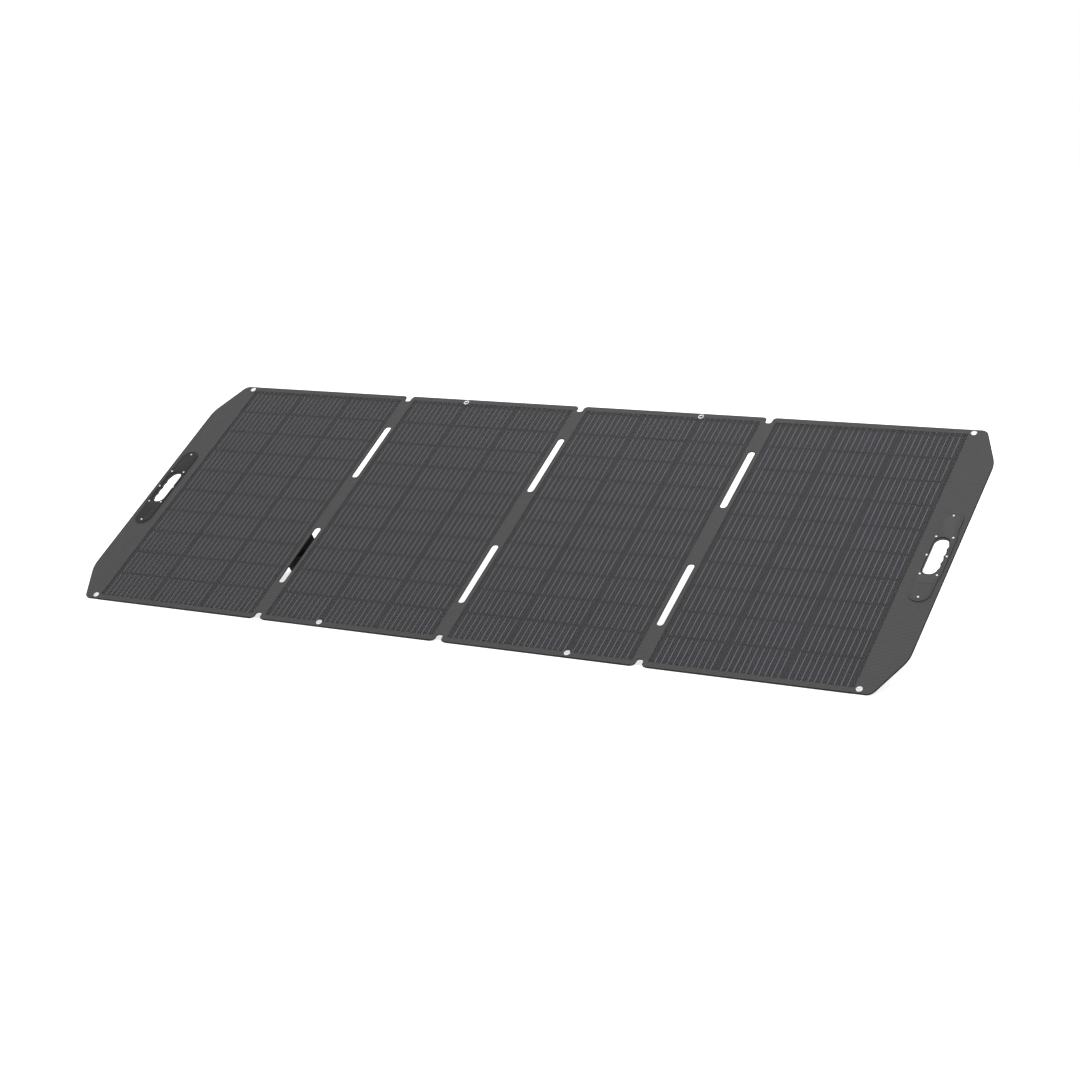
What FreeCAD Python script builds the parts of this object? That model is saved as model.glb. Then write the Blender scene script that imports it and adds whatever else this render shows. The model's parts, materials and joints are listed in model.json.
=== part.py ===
import FreeCAD, Part
import math
import os
import Sketcher

# A four-leaf folding solar panel, opened flat and leaning back on two kickstands.
#
# Every piece is drawn in the panel's own flat frame: x runs along the row of leaves from the left end,
# v runs up the slope from the front edge (FreeCAD's Y while flat) and n is the front normal (Z while
# flat), with n = 0 on the front face. One placement then tilts them all to the standing position.

SIZES = {
    # the row of leaves
    "tilt": 35.05,
    "panel_depth": 905.0,
    "leaf_width": 522.0,
    "web_width": 42.0,
    "flap_width": 97.0,
    # layers of a leaf, from the front
    "sheet_thick": 3.0,
    "film_thick": 0.5,
    "ribbon_thick": 0.2,
    "cell_thick": 0.3,
    "core_thick": 1.0,
    "cover_thick": 0.8,
    "window_margin": 17.0,
    # outline of an end flap
    "flap_cut_along": 53.0,
    "flap_cut_up": 118.5,
    "flap_shoulder_radius": 100.0,
    "flap_toe_radius": 22.0,
    # half-cut cells and their ribbons
    "cell_long": 166.0,
    "cell_short": 83.0,
    "column_pitch": 171.0,
    "row_pitch": 85.9,
    "first_cell_up": 22.0,
    "ribbon_pitch": 16.1,
    "ribbon_wide": 1.4,
    "ribbon_long": 77.6,
    "ribbon_edge_gap": 0.5,
    "ribbon_stub_long": 5.0,
    # eyelets
    "eyelet_from_edge": 13.2,
    "eyelet_end_from_side": 84.0,
    "eyelet_bore_radius": 5.2,
    "eyelet_barrel_radius": 6.0,
    "eyelet_flange_radius": 8.0,
    "eyelet_front_proud": 1.5,
    "eyelet_back_proud": 1.0,
    # fold webs
    "web_thick": 2.0,
    "slot_wide": 18.5,
    "slot_long": 213.0,
    "slot_up": 136.0,
    "slot_radius": 8.0,
    "notch_wide": 18.0,
    "notch_deep": 22.0,
    "notch_radius": 7.0,
    "notch_mouth_radius": 11.0,
    "jumper_wide": 12.0,
    "jumper_thick": 0.4,
    "jumper_spacing": 40.0,
    # handles
    "handle_from_side": 42.6,
    "handle_wide": 55.0,
    "handle_long": 306.0,
    "handle_bulge": 4.2,
    "handle_front_thick": 2.0,
    "handle_rim_radius": 0.9,
    "handle_back_thick": 3.5,
    "grip_wide": 40.0,
    "grip_long": 124.0,
    "grip_radius": 18.0,
    "finger_pitch": 24.5,
    "finger_deep": 3.0,
    "rivet_shaft_radius": 1.6,
    "rivet_head_radius": 2.7,
    "rivet_head_thick": 1.2,
    "rivet_end_up": 139.0,
    "rivet_corner_up": 63.8,
    "rivet_corner_side": 21.2,
    "rivet_middle_side": 24.6,
    "rivet_outward": 1.0,
    # kickstands
    "leg_wide": 142.0,
    "leg_thick": 6.0,
    "leg_hinge_up": 516.0,
    "leg_hinge_back": 10.5,
    "leg_end_back": 358.0,
    "foot_thick": 8.0,
    "foot_high": 16.0,
    "knuckle_radius": 4.5,
    "bracket_knuckle_long": 20.0,
    "knuckle_gap": 0.5,
    "bracket_thick": 1.5,
    "bracket_up": 37.0,
    "hinge_pin_radius": 2.5,
    "hinge_pin_play": 0.05,
    "hinge_pin_head": 2.0,
    "bracket_rivet_radius": 1.6,
    "strap_wide": 25.0,
    "strap_thick": 1.4,
    "strap_up": 150.0,
    "strap_tab": 30.0,
    "strap_back": 290.0,
    # junction box
    "box_long": 110.0,
    "box_high": 72.0,
    "box_deep": 16.0,
    "box_wall": 2.0,
    "box_up": 640.0,
    "box_radius": 8.0,
    "lid_thick": 2.0,
    "lid_screw_inset": 8.0,
    "lid_screw_radius": 1.5,
    "lid_screw_head_radius": 2.8,
    "gland_radius": 6.5,
    "gland_long": 16.0,
    "gland_bore_radius": 3.6,
    "gland_thread_radius": 5.0,
    "diode_board_thick": 1.6,
}

V = FreeCAD.Vector
doc = FreeCAD.newDocument("folding_panel")
sheet = doc.addObject("Spreadsheet::Sheet", "Sizes")
for row, (alias, number) in enumerate(SIZES.items(), start=1):
    sheet.set(f"A{row}", alias)
    sheet.set(f"B{row}", str(number))
    sheet.setAlias(f"B{row}", alias)
doc.recompute()

LEAF_PITCH = "(Sizes.leaf_width + Sizes.web_width)"
ROW_LENGTH = "(2 * Sizes.flap_width + 4 * Sizes.leaf_width + 3 * Sizes.web_width)"
LEAF_BACK = "(Sizes.sheet_thick + Sizes.cover_thick)"
WINDOW_DEPTH = "(Sizes.film_thick + Sizes.ribbon_thick + Sizes.cell_thick + Sizes.core_thick)"
WINDOW_LONG = "(Sizes.panel_depth - 2 * Sizes.window_margin)"
FIRST_CELL_ALONG = "(Sizes.leaf_width - 2 * Sizes.column_pitch - Sizes.cell_long) / 2"
CELL_TOP = "(-Sizes.film_thick - Sizes.ribbon_thick)"
LEAVES = (1, 2, 3, 4)
FOLDS = (1, 2, 3)
ENDS = {1: "left", 4: "right"}
FRONT_EDGE = -1
UP_AXIS = -2

parts = []


def value(expression):
    """The number that an expression of the sheet's cells gives."""
    found = sheet.evalExpression(expression)
    return float(getattr(found, "Value", found))


def leaf_start(leaf):
    return f"(Sizes.flap_width + {leaf - 1} * {LEAF_PITCH})"


def leaf_centre(leaf):
    return f"({leaf_start(leaf)} + Sizes.leaf_width / 2)"


def from_end(leaf, distance):
    """A place measured in from the free end of the first or last leaf."""
    return f"({distance})" if leaf == 1 else f"({ROW_LENGTH} - ({distance}))"


# ---- helpers for bodies, sketches and features -------------------------------------------------------


def new_body(label, many=False):
    body = doc.addObject("PartDesign::Body", label)
    body.Label = label
    body.AllowCompound = many
    parts.append(body)
    return body


def origin_feature(body, role):
    return next(item for item in body.Origin.OriginFeatures if item.Role == role)


def new_sketch(body, role="XY_Plane", offset="0"):
    """A sketch on one of the body's origin planes, moved along the plane's normal."""
    sketch = body.newObject("Sketcher::SketchObject", "sketch")
    sketch.AttachmentSupport = [(origin_feature(body, role), "")]
    sketch.MapMode = "FlatFace"
    sketch.setExpression("AttachmentOffset.Base.z", offset)
    return sketch


def hold_point(sketch, edge, end, along, up):
    """Ties one end (or the centre, 3) of an edge to two expressions."""
    for kind, axis, expression in (("DistanceX", UP_AXIS, along), ("DistanceY", FRONT_EDGE, up)):
        number = value(expression)
        if abs(number) < 1e-9:
            sketch.addConstraint(Sketcher.Constraint("PointOnObject", edge, end, axis))
            continue
        held = sketch.addConstraint(Sketcher.Constraint(kind, -1, 1, edge, end, number))
        name = f"place{held}"
        sketch.renameConstraint(held, name)
        sketch.setExpression(f"Constraints.{name}", expression)


def polygon(sketch, corners):
    """A closed polygon whose corners are pairs of expressions."""
    places = [V(value(along), value(up), 0) for along, up in corners]
    first = sketch.GeometryCount
    count = len(places)
    for n in range(count):
        sketch.addGeometry(Part.LineSegment(places[n], places[(n + 1) % count]), False)
    for n in range(count):
        follower = first + (n + 1) % count
        sketch.addConstraint(Sketcher.Constraint("Coincident", first + n, 2, follower, 1))
        hold_point(sketch, first + n, 1, *corners[n])


def rectangle(sketch, along, up, wide, high):
    right = f"({along}) + ({wide})"
    top = f"({up}) + ({high})"
    polygon(sketch, [(along, up), (right, up), (right, top), (along, top)])


def circle(sketch, along, up, radius):
    centre = V(value(along), value(up), 0)
    edge = sketch.addGeometry(Part.Circle(centre, V(0, 0, 1), value(radius)), False)
    hold_point(sketch, edge, 3, along, up)
    held = sketch.addConstraint(Sketcher.Constraint("Radius", edge, value(radius)))
    name = f"radius{held}"
    sketch.renameConstraint(held, name)
    sketch.setExpression(f"Constraints.{name}", radius)


def pad(body, sketch, length, backwards=False):
    feature = body.newObject("PartDesign::Pad", "pad")
    feature.Profile = sketch
    feature.Reversed = backwards
    feature.setExpression("Length", length)
    body.Tip = feature
    doc.recompute()
    return feature


def pocket(body, sketch, length=None):
    """Cuts a sketch from its plane towards -n, or through everything both ways."""
    before = body.Shape.Volume
    feature = body.newObject("PartDesign::Pocket", "pocket")
    feature.Profile = sketch
    if length is None:
        feature.Type = "ThroughAll"
        feature.SideType = "Symmetric"
    else:
        feature.setExpression("Length", length)
    body.Tip = feature
    doc.recompute()
    if body.Shape.Volume > before - 1e-3:
        raise RuntimeError(f"a pocket of {body.Label} cut nothing")
    return feature


def upright_edges(shape, places):
    """The names of the straight edges along n at the given places in the flat frame."""
    names = []
    for number, edge in enumerate(shape.Edges, start=1):
        box = edge.BoundBox
        if box.XLength > 1e-6 or box.YLength > 1e-6:
            continue
        if any(math.hypot(box.XMin - x, box.YMin - v) < 1e-3 for x, v in places):
            names.append(f"Edge{number}")
    if len(names) < len(places):
        raise RuntimeError(f"found {len(names)} of {len(places)} edges")
    return names


def round_edges(body, names, radius):
    before = body.Tip
    feature = body.newObject("PartDesign::Fillet", "fillet")
    feature.Base = (before, names)
    feature.setExpression("Radius", radius)
    body.Tip = feature
    doc.recompute()
    return feature


def round_corners(body, corners, radius):
    """Rounds upright corners, each a pair of expressions."""
    places = [(value(along), value(up)) for along, up in corners]
    round_edges(body, upright_edges(body.Shape, places), radius)


def round_rim(body, level, radius, picked=lambda edge: True):
    """Rounds every edge that lies flat at the height level."""
    names = []
    for number, edge in enumerate(body.Shape.Edges, start=1):
        box = edge.BoundBox
        if box.ZLength < 1e-6 and abs(box.ZMin - level) < 1e-6 and picked(edge):
            names.append(f"Edge{number}")
    round_edges(body, names, radius)


def repeat(body, feature, *runs):
    """Repeats a feature along one or more runs, each (axis role, whole length, count)."""
    pattern = body.newObject("PartDesign::MultiTransform", "pattern")
    pattern.Originals = [feature]
    steps = []
    for role, length, count in runs:
        step = body.newObject("PartDesign::LinearPattern", "step")
        step.Direction = (origin_feature(body, role), [""])
        step.Occurrences = count
        step.setExpression("Length", length)
        steps.append(step)
    pattern.Transformations = steps
    body.Tip = pattern
    doc.recompute()


def slab(label, along, up, wide, high, front, thick, many=False):
    """A flat rectangular piece whose front face is at n = front."""
    body = new_body(label, many)
    sketch = new_sketch(body, offset=front)
    rectangle(sketch, along, up, wide, high)
    pad(body, sketch, thick, backwards=True)
    return body


# ---- the leaves --------------------------------------------------------------------------------------


def eyelet_along(leaf):
    """Eyelets of the end leaves sit in the flaps; those of the inner ones between two cell columns."""
    if leaf in ENDS:
        return from_end(leaf, "Sizes.eyelet_end_from_side")
    gap = "(Sizes.cell_long + Sizes.column_pitch) / 2"
    gaps_in = 0 if leaf == 2 else 1
    return f"({leaf_start(leaf)} + {FIRST_CELL_ALONG} + {gap} + {gaps_in} * Sizes.column_pitch)"


def cut_eyelet_holes(body, leaf):
    sketch = new_sketch(body)
    for up in ("Sizes.eyelet_from_edge", "Sizes.panel_depth - Sizes.eyelet_from_edge"):
        circle(sketch, eyelet_along(leaf), up, "Sizes.eyelet_barrel_radius")
    pocket(body, sketch)


def flap_corners(leaf):
    toe = from_end(leaf, "Sizes.flap_cut_along")
    tip = from_end(leaf, "0")
    high = "Sizes.panel_depth"
    cut = "Sizes.flap_cut_up"
    return {
        "toes": [(toe, "0"), (toe, high)],
        "shoulders": [(tip, f"{high} - {cut}"), (tip, cut)],
    }


def base_sheet(leaf):
    """The carrier: a plain rectangle on the inner leaves, with a cut-cornered flap on the end ones."""
    body = new_body(f"base_sheet_{leaf}")
    sketch = new_sketch(body)
    start = leaf_start(leaf)
    if leaf in ENDS:
        inner = from_end(leaf, "Sizes.flap_width + Sizes.leaf_width")
        corners = flap_corners(leaf)
        low_toe, high_toe = corners["toes"]
        high_shoulder, low_shoulder = corners["shoulders"]
        inner_side = [(inner, "0"), (inner, "Sizes.panel_depth")]
        outline = [low_toe, *inner_side, high_toe, high_shoulder, low_shoulder]
        polygon(sketch, outline)
    else:
        rectangle(sketch, start, "0", "Sizes.leaf_width", "Sizes.panel_depth")
    pad(body, sketch, "Sizes.sheet_thick", backwards=True)
    if leaf in ENDS:
        round_corners(body, corners["toes"], "Sizes.flap_toe_radius")
        round_corners(body, corners["shoulders"], "Sizes.flap_shoulder_radius")
        sketch = new_sketch(body)
        grip_outline(sketch, leaf)
        rivet_circles(sketch, leaf, "Sizes.rivet_shaft_radius")
        pocket(body, sketch)
    sketch = new_sketch(body)
    rectangle(sketch, start, "Sizes.window_margin", "Sizes.leaf_width", WINDOW_LONG)
    pocket(body, sketch, WINDOW_DEPTH)
    cut_eyelet_holes(body, leaf)


def window_slab(label, leaf, front, thick):
    """A sheet that fills the leaf's window."""
    start = leaf_start(leaf)
    body = slab(label, start, "Sizes.window_margin", "Sizes.leaf_width", WINDOW_LONG, front, thick)
    if leaf not in ENDS:
        cut_eyelet_holes(body, leaf)


def cell_array(leaf):
    body = new_body(f"cell_array_{leaf}", many=True)
    sketch = new_sketch(body, offset=CELL_TOP)
    start = f"({leaf_start(leaf)} + {FIRST_CELL_ALONG})"
    rectangle(sketch, start, "Sizes.first_cell_up", "Sizes.cell_long", "Sizes.cell_short")
    cell = pad(body, sketch, "Sizes.cell_thick", backwards=True)
    columns = ("X_Axis", "2 * Sizes.column_pitch", 3)
    rows = ("Y_Axis", "9 * Sizes.row_pitch", 10)
    repeat(body, cell, columns, rows)


def cell_ribbons(leaf):
    """Ten dashes on each cell, with leads running on to the window's front and back edges."""
    body = new_body(f"cell_ribbons_{leaf}", many=True)
    inset = "(Sizes.cell_long - 9 * Sizes.ribbon_pitch - Sizes.ribbon_wide) / 2"
    start = f"({leaf_start(leaf)} + {FIRST_CELL_ALONG} + {inset})"
    low = "(Sizes.first_cell_up + (Sizes.cell_short - Sizes.ribbon_long) / 2)"
    dashes = ("X_Axis", "9 * Sizes.ribbon_pitch", 10)
    columns = ("X_Axis", "2 * Sizes.column_pitch", 3)
    rows = ("Y_Axis", "9 * Sizes.row_pitch", 10)
    sketch = new_sketch(body, offset="-Sizes.film_thick")
    rectangle(sketch, start, low, "Sizes.ribbon_wide", "Sizes.ribbon_long")
    dash = pad(body, sketch, "Sizes.ribbon_thick", backwards=True)
    repeat(body, dash, dashes, columns, rows)
    front_end = "(Sizes.window_margin + Sizes.ribbon_edge_gap)"
    stub_low = f"(Sizes.panel_depth - {front_end} - Sizes.ribbon_stub_long)"
    leads = [(front_end, f"{low} - {front_end} + Sizes.ribbon_wide"), (stub_low, "Sizes.ribbon_stub_long")]
    for lead_low, lead_long in leads:
        sketch = new_sketch(body, offset="-Sizes.film_thick")
        rectangle(sketch, start, lead_low, "Sizes.ribbon_wide", lead_long)
        lead = pad(body, sketch, "Sizes.ribbon_thick", backwards=True)
        repeat(body, lead, dashes, columns)


def back_cover(leaf):
    front = "-Sizes.sheet_thick"
    wide, high = "Sizes.leaf_width", "Sizes.panel_depth"
    start = leaf_start(leaf)
    body = slab(f"back_cover_{leaf}", start, "0", wide, high, front, "Sizes.cover_thick")
    if leaf in ENDS:
        sketch = new_sketch(body)
        bracket_rivet_circles(sketch, leaf, "Sizes.bracket_rivet_radius")
        pocket(body, sketch)
    else:
        cut_eyelet_holes(body, leaf)


def eyelets(leaf):
    """Two turned eyelets: a barrel with a front flange and a clenched back flange."""
    body = new_body(f"eyelets_{leaf}", many=True)
    sketch = new_sketch(body, role="XZ_Plane", offset="-Sizes.eyelet_from_edge")
    centre = eyelet_along(leaf)
    back = "Sizes.sheet_thick" if leaf in ENDS else LEAF_BACK
    bore = f"{centre} + Sizes.eyelet_bore_radius"
    barrel = f"{centre} + Sizes.eyelet_barrel_radius"
    flange = f"{centre} + Sizes.eyelet_flange_radius"
    front_face = "Sizes.eyelet_front_proud"
    back_face = f"-({back}) - Sizes.eyelet_back_proud"
    profile = [(bore, back_face), (flange, back_face), (flange, f"-({back})"), (barrel, f"-({back})")]
    profile += [(barrel, "0"), (flange, "0"), (flange, front_face), (bore, front_face)]
    polygon(sketch, profile)
    middle = value(centre)
    sketch.addGeometry(Part.LineSegment(V(middle, -9, 0), V(middle, 9, 0)), True)
    turned = body.newObject("PartDesign::Revolution", "turned")
    turned.Profile = sketch
    turned.ReferenceAxis = (sketch, ["Axis0"])
    body.Tip = turned
    doc.recompute()
    fronts = value(front_face)
    backs = value(back_face)
    soft = "Sizes.eyelet_back_proud * 0.6"
    names = []
    for number, edge in enumerate(body.Shape.Edges, start=1):
        box = edge.BoundBox
        if box.ZLength < 1e-6 and min(abs(box.ZMin - fronts), abs(box.ZMin - backs)) < 1e-6:
            names.append(f"Edge{number}")
    both_ends = "Sizes.panel_depth - 2 * Sizes.eyelet_from_edge"
    softened = body.newObject("PartDesign::Fillet", "fillet")
    softened.Base = (turned, names)
    softened.setExpression("Radius", soft)
    body.Tip = softened
    doc.recompute()
    pattern = body.newObject("PartDesign::LinearPattern", "pair")
    pattern.Originals = [turned, softened]
    pattern.Direction = (origin_feature(body, "Y_Axis"), [""])
    pattern.Occurrences = 2
    pattern.setExpression("Length", both_ends)
    body.Tip = pattern
    doc.recompute()


# ---- the folds ---------------------------------------------------------------------------------------


def fold_start(fold):
    return f"({leaf_start(fold)} + Sizes.leaf_width)"


def fold_web(fold):
    """A flexible strip with two relief slots and a flared notch at both ends."""
    start = fold_start(fold)
    high = "Sizes.panel_depth"
    body = slab(f"fold_web_{fold}", start, "0", "Sizes.web_width", high, "0", "Sizes.web_thick")
    slot_left = f"({start} + (Sizes.web_width - Sizes.slot_wide) / 2)"
    slot_right = f"({slot_left} + Sizes.slot_wide)"
    notch_left = f"({start} + (Sizes.web_width - Sizes.notch_wide) / 2)"
    notch_right = f"({notch_left} + Sizes.notch_wide)"
    slot_lows = ("Sizes.slot_up", f"({high} - Sizes.slot_up - Sizes.slot_long)")
    sketch = new_sketch(body)
    slot_corners = []
    for low in slot_lows:
        rectangle(sketch, slot_left, low, "Sizes.slot_wide", "Sizes.slot_long")
        top = f"{low} + Sizes.slot_long"
        slot_corners += [(slot_left, low), (slot_right, low), (slot_left, top), (slot_right, top)]
    pocket(body, sketch)
    round_corners(body, slot_corners, "Sizes.slot_radius")
    sketch = new_sketch(body)
    top_notch = f"({high} - Sizes.notch_deep)"
    rectangle(sketch, notch_left, "0", "Sizes.notch_wide", "Sizes.notch_deep")
    rectangle(sketch, notch_left, top_notch, "Sizes.notch_wide", "Sizes.notch_deep")
    pocket(body, sketch)
    floors = [(x, v) for x in (notch_left, notch_right) for v in ("Sizes.notch_deep", top_notch)]
    mouths = [(x, v) for x in (notch_left, notch_right) for v in ("0", high)]
    round_corners(body, floors, "Sizes.notch_radius")
    round_corners(body, mouths, "Sizes.notch_mouth_radius")


def jumper_ribbons(fold):
    """The two flat conductors that cross a fold behind its web, between the slots."""
    body = new_body(f"jumper_ribbons_{fold}", many=True)
    sketch = new_sketch(body, offset="-Sizes.web_thick")
    for side in (-1, 1):
        low = f"(Sizes.panel_depth + {side} * Sizes.jumper_spacing - Sizes.jumper_wide) / 2"
        rectangle(sketch, fold_start(fold), low, "Sizes.web_width", "Sizes.jumper_wide")
    pad(body, sketch, "Sizes.jumper_thick", backwards=True)


# ---- the handles -------------------------------------------------------------------------------------


def outward(leaf):
    """-1 where the free end is towards lower x, 1 where it is towards higher x."""
    return -1 if leaf == 1 else 1


def draw(sketch, place, start, moves):
    """Draws from start along moves: [finish] is a line, [through, finish] an arc."""
    here = start
    for move in moves:
        stops = [place(*stop) for stop in move]
        if len(stops) == 1:
            sketch.addGeometry(Part.LineSegment(place(*here), stops[0]), False)
        else:
            sketch.addGeometry(Part.Arc(place(*here), *stops), False)
        here = move[-1]


def handle_frame(leaf):
    """Turns (outwards, upwards) from a handle's centre into a place in the flat frame."""
    centre = value(from_end(leaf, "Sizes.handle_from_side"))
    middle = value("Sizes.panel_depth / 2")
    side = outward(leaf)
    return lambda out, up: V(centre + side * out, middle + up, 0)


def grip_outline(sketch, leaf):
    """The hand hole: straight on the inner side, with four finger scallops on the outer side."""
    half_wide = value("Sizes.grip_wide / 2")
    half_long = value("Sizes.grip_long / 2")
    radius = value("Sizes.grip_radius")
    pitch = value("Sizes.finger_pitch")
    cusp = half_wide - value("Sizes.finger_deep")
    side_end = half_long - radius
    corner = radius * (1 - math.sqrt(0.5))
    scallop_ends = [side_end, pitch, 0, -pitch, -side_end]
    moves = [
        [(-half_wide, side_end)],
        [(corner - half_wide, half_long - corner), (radius - half_wide, half_long)],
        [(cusp - radius, half_long)],
        [(cusp - corner, half_long - corner), (cusp, side_end)],
    ]
    for top, low in zip(scallop_ends, scallop_ends[1:]):
        moves.append([(half_wide, (top + low) / 2), (cusp, low)])
    moves += [
        [(cusp - corner, corner - half_long), (cusp - radius, -half_long)],
        [(radius - half_wide, -half_long)],
        [(corner - half_wide, corner - half_long), (-half_wide, -side_end)],
    ]
    draw(sketch, handle_frame(leaf), (-half_wide, -side_end), moves)


def rivet_places(leaf):
    """One rivet at each end of the plates and six round the hand hole, set a little outwards."""
    centre = from_end(leaf, "Sizes.handle_from_side")
    middle = "Sizes.panel_depth / 2"
    shift = f"{outward(leaf)} * Sizes.rivet_outward"
    spots = [("0", f"{sign} * Sizes.rivet_end_up") for sign in (-1, 1)]
    for across in (-1, 1):
        spots.append((f"{across} * Sizes.rivet_middle_side + {shift}", "0"))
        for sign in (-1, 1):
            up = f"{sign} * Sizes.rivet_corner_up"
            spots.append((f"{across} * Sizes.rivet_corner_side + {shift}", up))
    return [(f"({centre} + {along})", f"({middle} + {up})") for along, up in spots]


def rivet_circles(sketch, leaf, radius):
    for along, up in rivet_places(leaf):
        circle(sketch, along, up, radius)


def handle_plate(label, leaf, front, thick, rim):
    """A long plate with round ends, swelling outwards beside the hand hole."""
    body = new_body(label)
    sketch = new_sketch(body, offset=front)
    place = handle_frame(leaf)
    half_wide = value("Sizes.handle_wide / 2")
    half_long = value("Sizes.handle_long / 2")
    side_end = half_long - half_wide
    swell = half_wide + value("Sizes.handle_bulge")
    swell_end = value("Sizes.rivet_corner_up")
    ease_end = swell_end + 5 * value("Sizes.handle_bulge")
    moves = [
        [(-half_wide, side_end)],
        [(0, half_long), (half_wide, side_end)],
        [(half_wide, ease_end)],
        [(swell, swell_end)],
        [(swell, -swell_end)],
        [(half_wide, -ease_end)],
        [(half_wide, -side_end)],
        [(0, -half_long), (-half_wide, -side_end)],
    ]
    draw(sketch, place, (-half_wide, -side_end), moves)
    pad(body, sketch, thick, backwards=True)
    bends = []
    for sign in (-1, 1):
        bends += [place(half_wide, sign * ease_end), place(swell, sign * swell_end)]
    names = upright_edges(body.Shape, [(bend.x, bend.y) for bend in bends])
    round_edges(body, names, "Sizes.handle_wide")
    sketch = new_sketch(body)
    grip_outline(sketch, leaf)
    pocket(body, sketch)
    round_rim(body, value(rim), "Sizes.handle_rim_radius")
    sketch = new_sketch(body)
    rivet_circles(sketch, leaf, "Sizes.rivet_shaft_radius")
    pocket(body, sketch)


def handle_rivets(leaf):
    """Eight rivets that clamp the two plates on the flap."""
    body = new_body(f"handle_rivets_{ENDS[leaf]}", many=True)
    front = "Sizes.handle_front_thick"
    back = "(Sizes.sheet_thick + Sizes.handle_back_thick)"
    layers = [
        ("Sizes.rivet_shaft_radius", front, f"{front} + {back}"),
        ("Sizes.rivet_head_radius", f"{front} + Sizes.rivet_head_thick", "Sizes.rivet_head_thick"),
        ("Sizes.rivet_head_radius", f"-{back}", "Sizes.rivet_head_thick"),
    ]
    for radius, top, thick in layers:
        sketch = new_sketch(body, offset=top)
        rivet_circles(sketch, leaf, radius)
        pad(body, sketch, thick, backwards=True)
    dome = "Sizes.rivet_head_thick * 0.8"
    round_rim(body, value(f"{front} + Sizes.rivet_head_thick"), dome)
    round_rim(body, value(f"-{back} - Sizes.rivet_head_thick"), dome)


# ---- the kickstands ----------------------------------------------------------------------------------

# Each leg is drawn standing out square to the leaf. Its sections are in the (v, n) plane.
HINGE_UP = "Sizes.leg_hinge_up"
HINGE_BACK = "-Sizes.leg_hinge_back"


def leg_start(leaf):
    return f"({leaf_centre(leaf)} - Sizes.leg_wide / 2)"


def knuckle_runs():
    """(start, length) of the three bracket knuckles and of the two leg knuckles between them."""
    long = "Sizes.bracket_knuckle_long"
    gap = "Sizes.knuckle_gap"
    middle = f"(Sizes.leg_wide - {long}) / 2"
    bracket = [("0", long), (middle, long), (f"Sizes.leg_wide - {long}", long)]
    leg_long = f"({middle} - {long} - 2 * {gap})"
    leg = [(f"({long} + {gap})", leg_long), (f"({middle} + {long} + {gap})", leg_long)]
    return bracket, leg


def bracket_rivet_circles(sketch, leaf, radius):
    for share in (0.12, 0.37, 0.63, 0.88):
        along = f"({leg_start(leaf)} + {share} * Sizes.leg_wide)"
        circle(sketch, along, f"{HINGE_UP} + 0.65 * Sizes.bracket_up", radius)


def leg_bracket(leaf):
    body = new_body(f"leg_bracket_{ENDS[leaf]}")
    bracket_knuckles, _ = knuckle_runs()
    low = f"({HINGE_UP} - Sizes.knuckle_radius)"
    sketch = new_sketch(body, offset=f"-{LEAF_BACK}")
    rectangle(sketch, leg_start(leaf), low, "Sizes.leg_wide", "Sizes.bracket_up")
    pad(body, sketch, "Sizes.bracket_thick", backwards=True)
    for start, long in bracket_knuckles:
        sketch = new_sketch(body, role="YZ_Plane", offset=f"{leg_start(leaf)} + {start}")
        rib = f"({LEAF_BACK} + 0.5 * Sizes.bracket_thick)"
        rib_high = f"Sizes.leg_hinge_back - {rib}"
        rectangle(sketch, low, HINGE_BACK, "2 * Sizes.knuckle_radius", rib_high)
        pad(body, sketch, long)
        sketch = new_sketch(body, role="YZ_Plane", offset=f"{leg_start(leaf)} + {start}")
        circle(sketch, HINGE_UP, HINGE_BACK, "Sizes.knuckle_radius")
        pad(body, sketch, long)
    sketch = new_sketch(body, role="YZ_Plane", offset=leg_start(leaf))
    circle(sketch, HINGE_UP, HINGE_BACK, "Sizes.hinge_pin_radius")
    pocket(body, sketch)
    sketch = new_sketch(body)
    bracket_rivet_circles(sketch, leaf, "Sizes.bracket_rivet_radius")
    pocket(body, sketch)


def bracket_rivets(leaf):
    body = new_body(f"bracket_rivets_{ENDS[leaf]}", many=True)
    plate_back = f"({LEAF_BACK} + Sizes.bracket_thick)"
    sketch = new_sketch(body, offset="-Sizes.sheet_thick")
    bracket_rivet_circles(sketch, leaf, "Sizes.bracket_rivet_radius")
    pad(body, sketch, f"{plate_back} - Sizes.sheet_thick", backwards=True)
    sketch = new_sketch(body, offset=f"-{plate_back}")
    bracket_rivet_circles(sketch, leaf, "2 * Sizes.bracket_rivet_radius")
    pad(body, sketch, "Sizes.rivet_head_thick", backwards=True)
    round_rim(body, value(f"-{plate_back} - Sizes.rivet_head_thick"), "Sizes.rivet_head_thick * 0.8")


def leg_pin(leaf):
    body = new_body(f"leg_pin_{ENDS[leaf]}")
    head = "Sizes.hinge_pin_head"
    sketch = new_sketch(body, role="YZ_Plane", offset=leg_start(leaf))
    circle(sketch, HINGE_UP, HINGE_BACK, "Sizes.hinge_pin_radius")
    pad(body, sketch, "Sizes.leg_wide")
    for start in (f"{leg_start(leaf)} - {head}", f"{leg_start(leaf)} + Sizes.leg_wide"):
        sketch = new_sketch(body, role="YZ_Plane", offset=start)
        circle(sketch, HINGE_UP, HINGE_BACK, f"Sizes.hinge_pin_radius + 0.5 * {head}")
        pad(body, sketch, head)


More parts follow.
